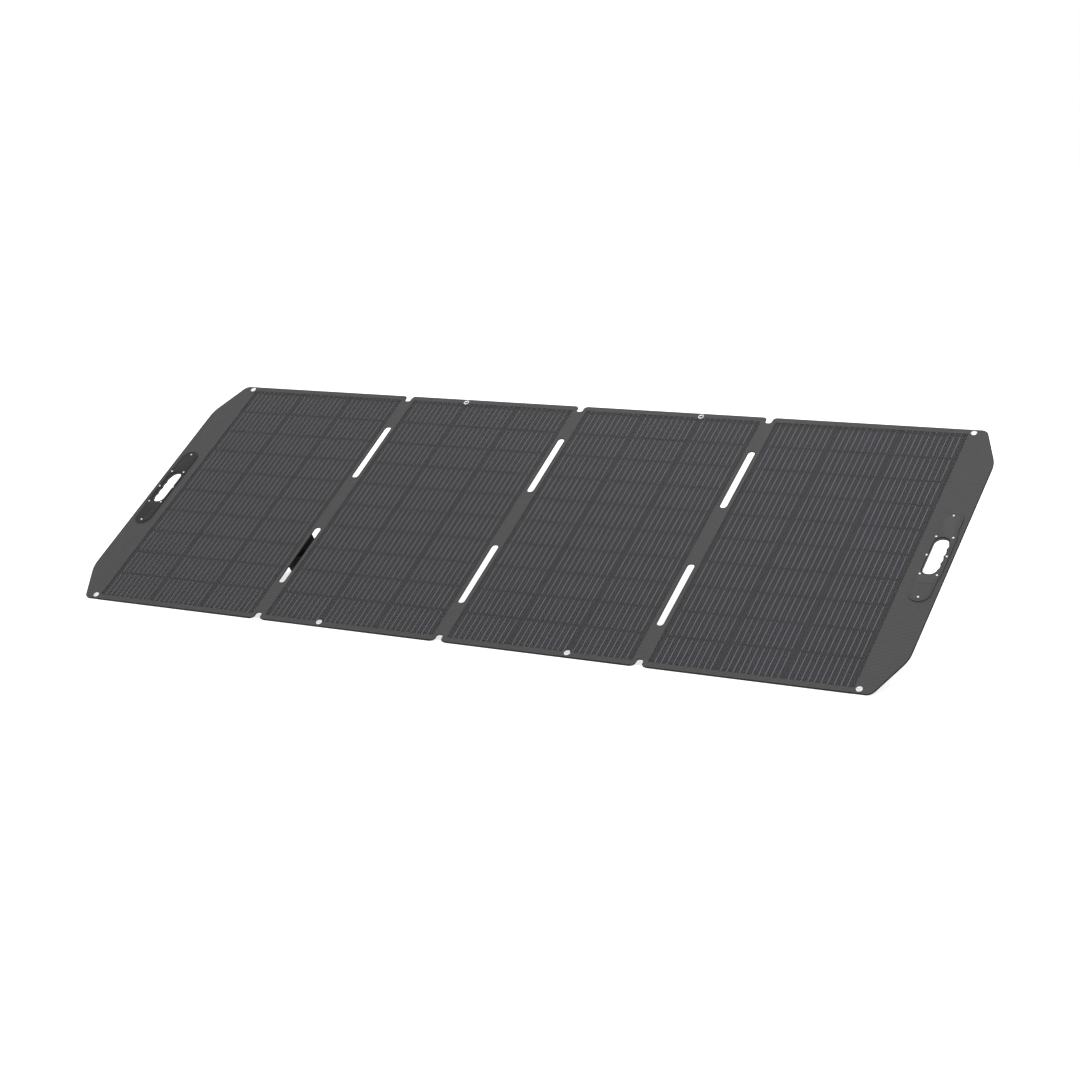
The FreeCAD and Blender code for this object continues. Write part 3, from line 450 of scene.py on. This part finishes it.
def tube_faces(base, rings, around, closed=False):
    """Faces of a tube with its first corner at base, and capped ends unless it runs into itself."""
    faces = []
    for i in range(rings if closed else rings - 1):
        here, there = base + i * around, base + (i + 1) % rings * around
        for j in range(around):
            k = (j + 1) % around
            faces.append((here + j, here + k, there + k, there + j))
    if not closed:
        last = base + (rings - 1) * around
        faces.append(tuple(reversed(range(base, base + around))))
        faces.append(tuple(range(last, last + around)))
    return faces


def closed_sheet(corners, behind, faces):
    """A sheet's front, with a corner behind each of its corners and walls round its open edges."""
    count = len(corners)
    places = list(corners) + list(behind)
    back = [tuple(reversed([i + count for i in face])) for face in faces]
    used = dict.fromkeys(edge for face in faces for edge in zip(face, face[1:] + face[:1]))
    walls = [(b, a, a + count, b + count) for a, b in used if (b, a) not in used]
    return places, list(faces) + back + walls


def plate(corners, faces, thickness):
    """A sheet of even thickness."""
    return closed_sheet(corners, [(x, v, n - thickness) for x, v, n in corners], faces)


def steps(start, end, count):
    return [start + (end - start) * i / count for i in range(count + 1)]


# ---------------------------------------------------------------- outlines and sweeps

def outlines(node, direction):
    """The closed outlines of a CAD piece's outermost flat face, longest first, as (x, v) places."""
    form = bmesh.new()
    form.from_mesh(frame["nodes"][node].data)
    bmesh.ops.remove_doubles(form, verts=form.verts, dist=0.001 * MM)
    reach = max(vertex.co.dot(direction) for vertex in form.verts)
    top = {face for face in form.faces
           if all(abs(vertex.co.dot(direction) - reach) < 0.01 * MM for vertex in face.verts)}
    beside, places = {}, {}
    for edge in form.edges:
        if sum(face in top for face in edge.link_faces) == 1:
            for one, other in (edge.verts, reversed(edge.verts)):
                beside.setdefault(one.index, []).append(other.index)
                places[one.index] = (TO_ROW.transposed() @ one.co).to_2d()
    form.free()
    loops, left = [], set(beside)
    while left:
        loop = [min(left)]
        while True:
            ahead = [i for i in beside[loop[-1]] if i in left and i not in loop[-2:]]
            if not ahead or ahead[0] == loop[0]:
                break
            loop.append(ahead[0])
        left -= set(loop)
        loops.append([places[i] for i in loop])
    return sorted((anticlockwise(loop) for loop in loops), key=loop_length, reverse=True)


def loop_length(loop):
    return sum((b - a).length for a, b in zip(loop, loop[1:] + loop[:1]))


def anticlockwise(loop):
    area = sum(a.x * b.y - b.x * a.y for a, b in zip(loop, loop[1:] + loop[:1]))
    return loop if area > 0 else loop[::-1]


def free_runs(loop, sewn):
    """The runs of an outline that lie on none of the given x, where it is sewn to its neighbour."""
    edges = list(zip(loop, loop[1:] + loop[:1]))
    held = [any(max(abs(a.x - x), abs(b.x - x)) < 0.01 * MM for x in sewn) for a, b in edges]
    first = held.index(True)
    runs, run = [], []
    for k in range(len(edges)):
        (a, b), stop = edges[(first + k) % len(edges)], held[(first + k) % len(edges)]
        if stop:
            runs += [run] if run else []
            run = []
        else:
            run = run + [b] if run else [a, b]
    return runs + ([run] if run else [])


def swept(places, faces, path, section, closed):
    """Adds a section carried along a path: its points are (offset to the path's left, n)."""
    base, last = len(places), len(path) - 1
    for i, point in enumerate(path):
        ahead = path[(i + 1) % len(path)] if closed or i < last else point
        behind = path[i - 1] if closed or i else point
        run = (ahead - behind).normalized()
        left = Vector((-run.y, run.x))
        for offset, n in section:
            spot = point + left * offset
            places.append((spot.x, spot.y, n))
    faces += tube_faces(base, len(path), len(section), closed)


def swept_piece(name, sweeps, paint):
    """One piece of several sweeps, each (path, section, closed), with its faces turned outwards."""
    places, faces = [], []
    for path, section, closed in sweeps:
        swept(places, faces, path, section, closed)
    piece = new_piece(name, places, faces, paint)
    form = bmesh.new()
    form.from_mesh(piece.data)
    bmesh.ops.recalc_face_normals(form, faces=form.faces)
    form.to_mesh(piece.data)
    form.free()
    return piece


# ---------------------------------------------------------------- black edge skins: painted shade

SKIN_IN = 1.4 * MM
SKIN_PROUD = 0.12 * MM
SKIN_SHOULDER = 0.1 * MM
TURN_DOWN = 0.2 * MM


def shade_skin_section(front, back, side=1):
    """A thin skin round a sheet's edge, from a little way in on the front to the back, that carries
    the edge's painted shade.
    """
    skin = [
        (SKIN_IN, front),
        (SKIN_IN * 0.8, front + SKIN_PROUD),
        (SKIN_SHOULDER, front + SKIN_PROUD),
        (-SKIN_PROUD, front - TURN_DOWN),
        (-SKIN_PROUD, back + TURN_DOWN),
        (SKIN_SHOULDER, back - SKIN_PROUD),
        (SKIN_IN * 0.8, back - SKIN_PROUD),
        (SKIN_IN, back),
    ]
    return [(offset * side, n) for offset, n in skin]


def shade_leaf_edge(number, paint):
    """A near-black skin on the cut edge of a leaf's sheet, except where a web is sewn on: painted
    shade on the edge.
    """
    low, high = span(f"base_sheet_{number}")
    cover_low, cover_high = span(f"back_cover_{number}")
    sewn = [cover_low.x] * (number > 1) + [cover_high.x] * (number < LEAVES[-1])
    runs = free_runs(outlines(f"base_sheet_{number}", -OUT)[0], sewn)
    sweeps = [(run, shade_skin_section(high.z, low.z), False) for run in runs]
    shade_skin = swept_piece(f"edge_shade_skin_{number}", sweeps, paint)
    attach(shade_skin, f"leaf_{number}")


def shade_web_edges(number, paint):
    """The same near-black skin round a web's two slots and its end notches: painted shade on their
    edges.
    """
    low, high = span(f"fold_web_{number}")
    outer, *slots = outlines(f"fold_web_{number}", OUT)
    runs = free_runs(outer, [low.x, high.x])
    sweeps = [(run, shade_skin_section(high.z, low.z), False) for run in runs]
    sweeps += [(slot, shade_skin_section(high.z, low.z, side=-1), True) for slot in slots]
    shade_skin = swept_piece(f"web_shade_skin_{number}", sweeps, paint)
    blend_over_fold(shade_skin, number)


def blend_over_fold(piece, number):
    """Bakes a piece's place into its mesh; the piece stays flat."""
    low, high = span(f"fold_web_{number}")
    middle_v = (low.y + high.y) / 2
    flat_point(low.x, middle_v, high.z)
    flat_point(high.x, middle_v, high.z)
    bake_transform(piece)


# ---------------------------------------------------------------- front films

FILM_THICK = 0.3 * MM
FILM_ACROSS, FILM_UP = 6, 10


def make_film(number, paint):
    """A leaf's clear front film, thinner than its pocket: it floats just over the ribbons."""
    low, high = span(f"top_film_{number}")
    across, up = steps(low.x, high.x, FILM_ACROSS), steps(low.y, high.y, FILM_UP)
    corners = [(x, v, high.z) for x in across for v in up]
    places, faces = plate(corners, grid_faces(len(across), len(up)), FILM_THICK)
    film = new_piece(f"front_film_{number}", places, faces, paint)
    add_bevel(film, 0.1 * MM)
    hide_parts(f"top_film_{number}")
    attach(film, f"leaf_{number}")


# ---------------------------------------------------------------- fold webs

WEB_SLOT_HALF = 9.25 * MM
WEB_SLOT_RADIUS = 8 * MM
WEB_SLOTS = ((136 * MM, 349 * MM), (556 * MM, 769 * MM))
WEB_BANDS_WITH_SLOT = (1, 3)
WEB_BAND_ROWS = 12
NOTCH_HALF = 9 * MM
NOTCH_DEEP = 22 * MM
NOTCH_FLOOR_RADIUS = 7 * MM
NOTCH_MOUTH_RADIUS = 11 * MM


def rounding(offset, half, radius):
    """How far a slot's round-cornered end stands back from a square one at an offset."""
    beyond = min(max(0.0, abs(offset) - (half - radius)), radius)
    return radius - math.sqrt(radius * radius - beyond * beyond)


def notch_depth(offset):
    """Depth of an end notch of the web at an offset from the web's middle."""
    distance = abs(offset)
    if distance <= NOTCH_HALF:
        return NOTCH_DEEP - rounding(distance, NOTCH_HALF, NOTCH_FLOOR_RADIUS)
    beyond = min(distance - NOTCH_HALF, NOTCH_MOUTH_RADIUS)
    reach = NOTCH_MOUTH_RADIUS - beyond
    return NOTCH_MOUTH_RADIUS - math.sqrt(NOTCH_MOUTH_RADIUS ** 2 - reach ** 2)


def web_columns(half):
    """Offsets across a web, close together round the slots' corners."""
    turns = [math.radians(degrees) for degrees in range(0, 91, 15)]
    inner = [WEB_SLOT_HALF - WEB_SLOT_RADIUS * (1 - math.sin(turn)) for turn in turns]
    outer = steps(WEB_SLOT_HALF, NOTCH_HALF + NOTCH_MOUTH_RADIUS, 6)[1:] + [half]
    right = [0.0] + inner + outer
    return [-x for x in reversed(right[1:])] + right


def make_web(number, paint):
    """The cloth hinge between two leaves: two long slots and a notch at each end."""
    low, high = span(f"fold_web_{number}")
    centre, half = (low.x + high.x) / 2, (high.x - low.x) / 2
    columns = web_columns(half)
    first_low, first_high, second_low, second_high = [low.y + v for slot in WEB_SLOTS for v in slot]
    places = []
    for offset in columns:
        inset = rounding(offset, WEB_SLOT_HALF, WEB_SLOT_RADIUS)
        depth = notch_depth(offset)
        stations = (
            low.y + depth, first_low + inset, first_high - inset,
            second_low + inset, second_high - inset, high.y - depth,
        )
        rows = [stations[0]]
        for a, b in zip(stations, stations[1:]):
            rows += steps(a, b, WEB_BAND_ROWS)[1:]
        places += [(centre + offset, row, high.z) for row in rows]

    def in_slot(face):
        column, row = divmod(face[0], len(rows))
        across_slot = abs(columns[column] + columns[column + 1]) / 2 < WEB_SLOT_HALF
        return across_slot and row // WEB_BAND_ROWS in WEB_BANDS_WITH_SLOT

    faces = [face for face in grid_faces(len(columns), len(rows)) if not in_slot(face)]
    places, faces = plate(places, faces, high.z - low.z)
    web = new_piece(f"cloth_web_{number}", places, faces, paint)
    add_bevel(web, 0.35 * MM)
    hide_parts(f"fold_web_{number}")
    blend_over_fold(web, number)


def add_bevel(piece, width, segments=2):
    """Rounds a piece's sharp edges."""
    bevel = piece.modifiers.new("edge", "BEVEL")
    bevel.width = width
    bevel.segments = segments
    bevel.limit_method = "ANGLE"
    bevel.angle_limit = math.radians(35)
    bevel.harden_normals = True


# ---------------------------------------------------------------- jumper sleeves

SLEEVE_WIDE = 12 * MM
SLEEVE_ACROSS, SLEEVE_ALONG = 8, 24
SLEEVE_CROWN = 0.35


def make_sleeves(number, paint):
    """Two flat sleeves that carry the cell strings' tape over a fold."""
    low, high = span(f"jumper_ribbons_{number}")
    thick, half = high.z - low.z, SLEEVE_WIDE / 2
    columns = steps(low.x, high.x, SLEEVE_ALONG)
    places, faces = [], []
    for start in (low.y, high.y - SLEEVE_WIDE):
        across = steps(start, start + SLEEVE_WIDE, SLEEVE_ACROSS)
        front = [(x, v, high.z) for x in columns for v in across]
        rise = [thick * SLEEVE_CROWN * ((v - start - half) / half) ** 2 for v in across]
        back = [(x, v, low.z + lift) for x in columns for v, lift in zip(across, rise)]
        corners, sheet = closed_sheet(front, back, grid_faces(len(columns), len(across)))
        faces += [tuple(i + len(places) for i in face) for face in sheet]
        places += corners
    sleeve = new_piece(f"jumper_sleeves_{number}", places, faces, paint)
    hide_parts(f"jumper_ribbons_{number}")
    blend_over_fold(sleeve, number)


# ---------------------------------------------------------------- finished copies of CAD pieces

def finished_copy(node, body, paint, edge):
    """A CAD piece's own shape, welded and with its sharp edges rounded, shown in its place."""
    form = bmesh.new()
    form.from_mesh(frame["nodes"][node].data)
    bmesh.ops.remove_doubles(form, verts=form.verts, dist=0.001 * MM)
    bmesh.ops.dissolve_limit(form, angle_limit=math.radians(1), verts=form.verts, edges=form.edges)
    mesh = bpy.data.meshes.new(f"{node}_finished")
    form.to_mesh(mesh)
    form.free()
    for polygon in mesh.polygons:
        polygon.use_smooth = True
    mesh.materials.append(paint)
    piece = bpy.data.objects.new(f"{node}_finished", mesh)
    bpy.context.scene.collection.objects.link(piece)
    add_bevel(piece, edge, segments=3)
    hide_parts(node)
    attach(piece, body)


# ---------------------------------------------------------------- handles

BEAD_INSET = 5.0 * MM
BEAD_SECTION = ((-0.7, 0.0), (-0.4, 0.25), (0.4, 0.25), (0.7, 0.0), (0.0, -0.3))
CREASE_BELOW = 30.0 * MM
CREASE_HALF = 18.0 * MM
HOLE_SKIN_IN = 1.5 * MM
HOLE_SKIN_THICK = 0.5 * MM
FRONT_EDGE = 0.5 * MM
BACK_EDGE = 1.0 * MM


def make_bead(side, paint):
    """A low moulded bead inside the front plate's outline, and another across its lower end."""
    node = f"handle_front_{side}"
    low, high = span(node)
    outer, hole = outlines(node, OUT)[:2]
    inset = [(BEAD_INSET + offset * MM, high.z + n * MM) for offset, n in BEAD_SECTION]
    across = [(offset * MM, high.z + n * MM) for offset, n in BEAD_SECTION]
    middle = (low.x + high.x) / 2
    crease = min(place.y for place in hole) - CREASE_BELOW
    crease_path = [Vector((middle - CREASE_HALF, crease)), Vector((middle + CREASE_HALF, crease))]
    sweeps = [(outer, inset, True), (crease_path, across, False)]
    # On the grey right plate the bead's sloped sides take the painted shadow of its paint, so it
    # shows as dark lines.
    bead = swept_piece(f"handle_bead_{side}", sweeps, paint)
    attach(bead, SIDES[side])


def make_hole_shade(side, paint):
    """A near-black skin in the hand hole, with a lip on both plates: painted shade on the hole's
    walls.
    """
    _, front = span(f"handle_front_{side}")
    back, _ = span(f"handle_back_{side}")
    hole = outlines(f"handle_front_{side}", OUT)[1]
    wall = [
        (-HOLE_SKIN_IN, front.z),
        (-HOLE_SKIN_IN * 0.8, front.z + HOLE_SKIN_THICK * 0.5),
        (0.0, front.z + HOLE_SKIN_THICK * 0.6),
        (HOLE_SKIN_THICK, front.z - TURN_DOWN),
        (HOLE_SKIN_THICK, back.z + TURN_DOWN),
        (0.0, back.z - HOLE_SKIN_THICK * 0.6),
        (-HOLE_SKIN_IN * 0.8, back.z - HOLE_SKIN_THICK * 0.5),
        (-HOLE_SKIN_IN, back.z),
    ]
    hole_shade = swept_piece(f"grip_hole_shade_{side}", [(hole, wall, True)], paint)
    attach(hole_shade, SIDES[side])


def make_handles(paints):
    for side, body in SIDES.items():
        front = paints["dark_plastic" if side == "left" else "grey_plastic"]
        # On the grey right plate, the paint darkens side walls and rounded edges as a painted
        # shadow.
        finished_copy(f"handle_front_{side}", body, front, FRONT_EDGE)
        finished_copy(f"handle_back_{side}", body, paints["dark_plastic"], BACK_EDGE)
        make_bead(side, front)
        make_hole_shade(side, paints["edge_shade_black"])


# ---------------------------------------------------------------- stitches

THREAD = 0.4 * MM
STITCH_PITCH = 5.0 * MM
STITCH_LONG = 3.6 * MM
STITCH_AROUND = 6
STITCH_RINGS = ((-0.5, 0.35), (-0.25, 0.9), (0.25, 0.9), (0.5, 0.35))
STITCH_RAISED = 0.2


def stitch_row(places, faces, start, end, out):
    """Adds a straight row of thread loops, half sunk in the face that looks along out."""
    run = end - start
    count = max(1, round(run.length / STITCH_PITCH))
    along = run.normalized()
    side = along.cross(out)
    for i in range(count):
        centre = start + run * ((i + 0.5) / count)
        base = len(places)
        for share, width in STITCH_RINGS:
            for j in range(STITCH_AROUND):
                turn = 2 * math.pi * j / STITCH_AROUND
                offset = side * math.cos(turn) + out * (math.sin(turn) + STITCH_RAISED)
                places.append(tuple(centre + along * STITCH_LONG * share + offset * THREAD * width))
        faces += tube_faces(base, len(STITCH_RINGS), STITCH_AROUND)


def make_stitches(name, rows, body, paint):
    """Rows of stitches as one piece; each row is (start, end, out) in the flat axes."""
    places, faces = [], []
    for start, end, out in rows:
        stitch_row(places, faces, Vector(start), Vector(end), Vector(out))
    piece = new_piece(name, places, faces, paint)
    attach(piece, body)


def box_rows(low, high, place, out, crossed=False):
    """Four rows round a box, with diagonals if crossed; place makes a flat place of two numbers."""
    (a, b), (c, d) = low, high
    corners = [(a, b), (c, b), (c, d), (a, d)]
    runs = list(zip(corners, corners[1:] + corners[:1]))
    if crossed:
        runs += [((a, b), (c, d)), ((a, d), (c, b))]
    return [(place(*start), place(*end), out) for start, end in runs]


# ---------------------------------------------------------------- hems on the leaves' backs

HEM_WIDE = 11 * MM
HEM_THICK = 0.5 * MM
HEM_IN = 0.6 * MM
HEM_ROWS_IN = (2.2 * MM, HEM_WIDE - 1.8 * MM)


def make_hem(number, paints):
    """Tape sewn round the back of a leaf over the cut edge of its cover."""
    low, high = span(f"back_cover_{number}")
    outer = [(low.x + HEM_IN, low.y + HEM_IN), (high.x - HEM_IN, low.y + HEM_IN),
             (high.x - HEM_IN, high.y - HEM_IN), (low.x + HEM_IN, high.y - HEM_IN)]
    inner = [(x + HEM_WIDE * sx, v + HEM_WIDE * sv)
             for (x, v), (sx, sv) in zip(outer, ((1, 1), (-1, 1), (-1, -1), (1, -1)))]
    corners = [(x, v, low.z) for x, v in outer + inner]
    faces = [(i, (i + 1) % 4, (i + 1) % 4 + 4, i + 4) for i in range(4)]
    places, faces = plate(corners, faces, HEM_THICK)
    hem = new_piece(f"back_hem_{number}", places, faces, paints["tape"])
    add_bevel(hem, 0.2 * MM)
    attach(hem, f"leaf_{number}")
    edge = low.z - HEM_THICK
    rows = []
    for inset in HEM_ROWS_IN:
        start = (outer[0][0] + inset, outer[0][1] + inset)
        end = (outer[2][0] - inset, outer[2][1] - inset)
        rows += box_rows(start, end, lambda x, v: (x, v, edge), (0, 0, -1))
    make_stitches(f"hem_stitches_{number}", rows, f"leaf_{number}", paints["thread"])


# ---------------------------------------------------------------- kickstands

COVER_THICK = 0.8 * MM
COVER_BELOW_PIN = 7.0 * MM
BOARD_HALF = 3.0 * MM
COVER_ALONG, COVER_AROUND = 24, 40
COVER_SQUARE_WIDE, COVER_SQUARE_THICK = 0.12, 0.35
STRAP_THICK = 1.2 * MM
STRAP_TAB = 30 * MM
STRAP_TURN = 7 * MM
STRAP_STEP = 8 * MM
STRAP_EDGE = 0.5 * MM
STRAP_STITCH_IN = 4 * MM
COVER_STITCH_IN = 5 * MM
CORNER_STEPS = 6


def rounded(points, radius):
    """The same path with its inner corners rounded, as (v, n) pairs."""
    path = [Vector(points[0])]
    for before, corner, after in zip(points, points[1:], points[2:]):
        corner = Vector(corner)
        enter = corner + (Vector(before) - corner).normalized() * radius
        leave = corner + (Vector(after) - corner).normalized() * radius
        for i in range(CORNER_STEPS + 1):
            share = i / CORNER_STEPS
            left = 1 - share
            path.append(enter * left ** 2 + corner * 2 * share * left + leave * share ** 2)
    return path + [Vector(points[-1])]


def refined(path, step):
    """More points along the straight stretches of a path."""
    fine = [path[0]]
    for a, b in zip(path, path[1:]):
        count = max(1, math.ceil((b - a).length / step))
        fine += [a + (b - a) * i / count for i in range(1, count + 1)]
    return fine


def make_strap(side, paints):
    """The webbing that stops a kickstand, taut between a tab on the leaf and one on the leg."""
    leaf, node = SIDES[side], f"leg_strap_{side}"
    low, high = span(node)
    board_low, _ = span(f"leg_board_{side}")
    leaf_face = high.z - 0.1 * MM
    leg_face = board_low.y - COVER_THICK
    points = [
        (low.y, leaf_face), (low.y + STRAP_TAB, leaf_face),
        (leg_face, low.z + STRAP_TAB), (leg_face, low.z),
    ]
    path = refined(rounded(points, STRAP_TURN), STRAP_STEP)
    half = (high.x - low.x) / 2
    centre = (low.x + high.x) / 2
    inner = steps(-half + STRAP_EDGE, half - STRAP_EDGE, 6)
    section = [(-half, 0.5)] + [(x, 0.0) for x in inner]
    section += [(half, 0.5)] + [(x, 1.0) for x in reversed(inner)]
    places, lengths, travelled = [], [], 0.0
    for i, point in enumerate(path):
        ahead, behind = path[min(i + 1, len(path) - 1)], path[max(i - 1, 0)]
        run = (ahead - behind).normalized()
        away = Vector((run.y, -run.x))
        if i:
            travelled += (point - path[i - 1]).length
        for x, depth in section:
            edge = point + away * STRAP_THICK * depth
            places.append((centre + x, edge.x, edge.y))
            lengths.append((x, travelled))
    # The section runs the other way round here, so each face is turned over about its first corner.
    faces = [face[:1] + face[:0:-1] for face in tube_faces(0, len(path), len(section))]
    strap = new_piece(f"webbing_{side}", places, faces, paints["strap"])
    layer = strap.data.uv_layers["flat"]
    for loop in strap.data.loops:
        layer.data[loop.index].uv = lengths[loop.vertex_index]
    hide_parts(node)
    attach(strap, leaf)
    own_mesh(strap)
    inset = STRAP_STITCH_IN
    start = (centre - half + inset, low.y + inset)
    end = (centre + half - inset, low.y + STRAP_TAB - inset)
    back = leaf_face - STRAP_THICK
    rows = box_rows(start, end, lambda x, v: (x, v, back), (0, 0, -1), crossed=True)
    make_stitches(f"strap_leaf_stitches_{side}", rows, leaf, paints["thread"])


def boxed(value, power):
    """A sine or cosine drawn towards its ends, so that a ring through it turns boxy."""
    return math.copysign(abs(value) ** power, value)


def make_leg_cover(side, paints):
    """A sewn cloth cover round a kickstand's board, fuller in the middle, with stitched edges."""
    body = f"kickstand_{side}"
    low, high = span(f"leg_board_{side}")
    foot_low, foot_high = span(f"leg_foot_{side}")
    pin_low, _ = span(f"leg_pin_{side}")
    start, end = pin_low.z - COVER_BELOW_PIN, foot_high.z - 0.5 * MM
    half_wide = (foot_high.x - foot_low.x) / 2 - 0.2 * MM
    centre_x, centre_v = (low.x + high.x) / 2, (foot_low.y + foot_high.y) / 2
    places = []
    for i in range(COVER_ALONG + 1):
        share = i / COVER_ALONG
        n = start + (end - start) * share
        closing = min(1.0, min(share, 1 - share) * COVER_ALONG)
        at_rim = BOARD_HALF + COVER_THICK * (0.35 + 0.65 * closing)
        fullness = 0.25 * MM * math.sin(math.pi * share)
        for j in range(COVER_AROUND):
            turn = 2 * math.pi * j / COVER_AROUND
            flat = boxed(math.cos(turn), COVER_SQUARE_WIDE)
            thick = boxed(math.sin(turn), COVER_SQUARE_THICK)
            half_thick = at_rim + fullness * (1 - abs(flat) ** 8)
            places.append((centre_x + half_wide * flat, centre_v + half_thick * thick, n))
    faces = tube_faces(0, COVER_ALONG + 1, COVER_AROUND)
    cover = new_piece(f"leg_cover_{side}", places, faces, paints["leg"])
    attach(cover, body)
    inset = COVER_STITCH_IN
    corner = (centre_x - half_wide + inset, end + inset)
    opposite = (centre_x + half_wide - inset, start - inset)
    rows = []
    for out in (-1, 1):
        face = centre_v + out * (BOARD_HALF + COVER_THICK + 0.1 * MM)
        rows += box_rows(corner, opposite, lambda x, n: (x, face, n), (0, out, 0))
    make_stitches(f"leg_stitches_{side}", rows, body, paints["thread"])


# ---------------------------------------------------------------- floor and light

FLOOR_REACH = 60.0
FLOOR_BELOW = 0.5 * MM
LIGHTS = (
    ("key", Vector((2.4, -1.4, 2.6)), 1.6, 30),
    ("rim", Vector((-1.5, 3.2, 2.6)), 2.5, 40),
)


def make_stage():
    """A white floor in a white surround, with a key light in front and a rim light behind."""
    mesh = bpy.data.meshes.new("floor")
    signs = ((-1, -1), (1, -1), (1, 1), (-1, 1))
    mesh.from_pydata([(a * FLOOR_REACH, b * FLOOR_REACH, 0) for a, b in signs], [], [(0, 1, 2, 3)])
    floor = bpy.data.objects.new("floor", mesh)
    floor.location.z = cad_box[0].z - FLOOR_BELOW
    bpy.context.scene.collection.objects.link(floor)
    paint = Paint("floor_white", grey(0.9), 0.9)
    paint.set("Specular IOR Level", 0.0)
    paint.set("Emission Color", (1, 1, 1, 1))
    paint.set("Emission Strength", 0.62)
    mesh.materials.append(paint.material)

    world = bpy.data.worlds.new("surround")
    world.use_nodes = True
    background = world.node_tree.nodes["Background"].inputs
    background["Color"].default_value = (1, 1, 1, 1)
    background["Strength"].default_value = 1.0
    bpy.context.scene.world = world

    centre = (cad_box[0] + cad_box[1]) / 2
    for name, offset, size, power in LIGHTS:
        light = bpy.data.objects.new(name, bpy.data.lights.new(name, "AREA"))
        light.data.size = size
        light.data.energy = power
        light.location = centre + offset
        light.rotation_mode = "QUATERNION"
        light.rotation_quaternion = (-offset).to_track_quat("-Z", "Y")
        bpy.context.scene.collection.objects.link(light)
    bpy.context.scene.view_settings.view_transform = "Standard"


# ---------------------------------------------------------------- the scene

make_camera()
make_stage()
paints = make_paints()
paint_nodes(paints)
for number in LEAVES:
    make_film(number, paints["film"])
    shade_leaf_edge(number, paints["edge_shade_black"])
for number in LEAVES[:-1]:
    make_web(number, paints["web"])
    shade_web_edges(number, paints["edge_shade_black"])
    make_sleeves(number, paints["sleeve"])
for number in LEAVES:
    make_hem(number, paints)
make_handles(paints)
for side in SIDES:
    make_strap(side, paints)
    make_leg_cover(side, paints)
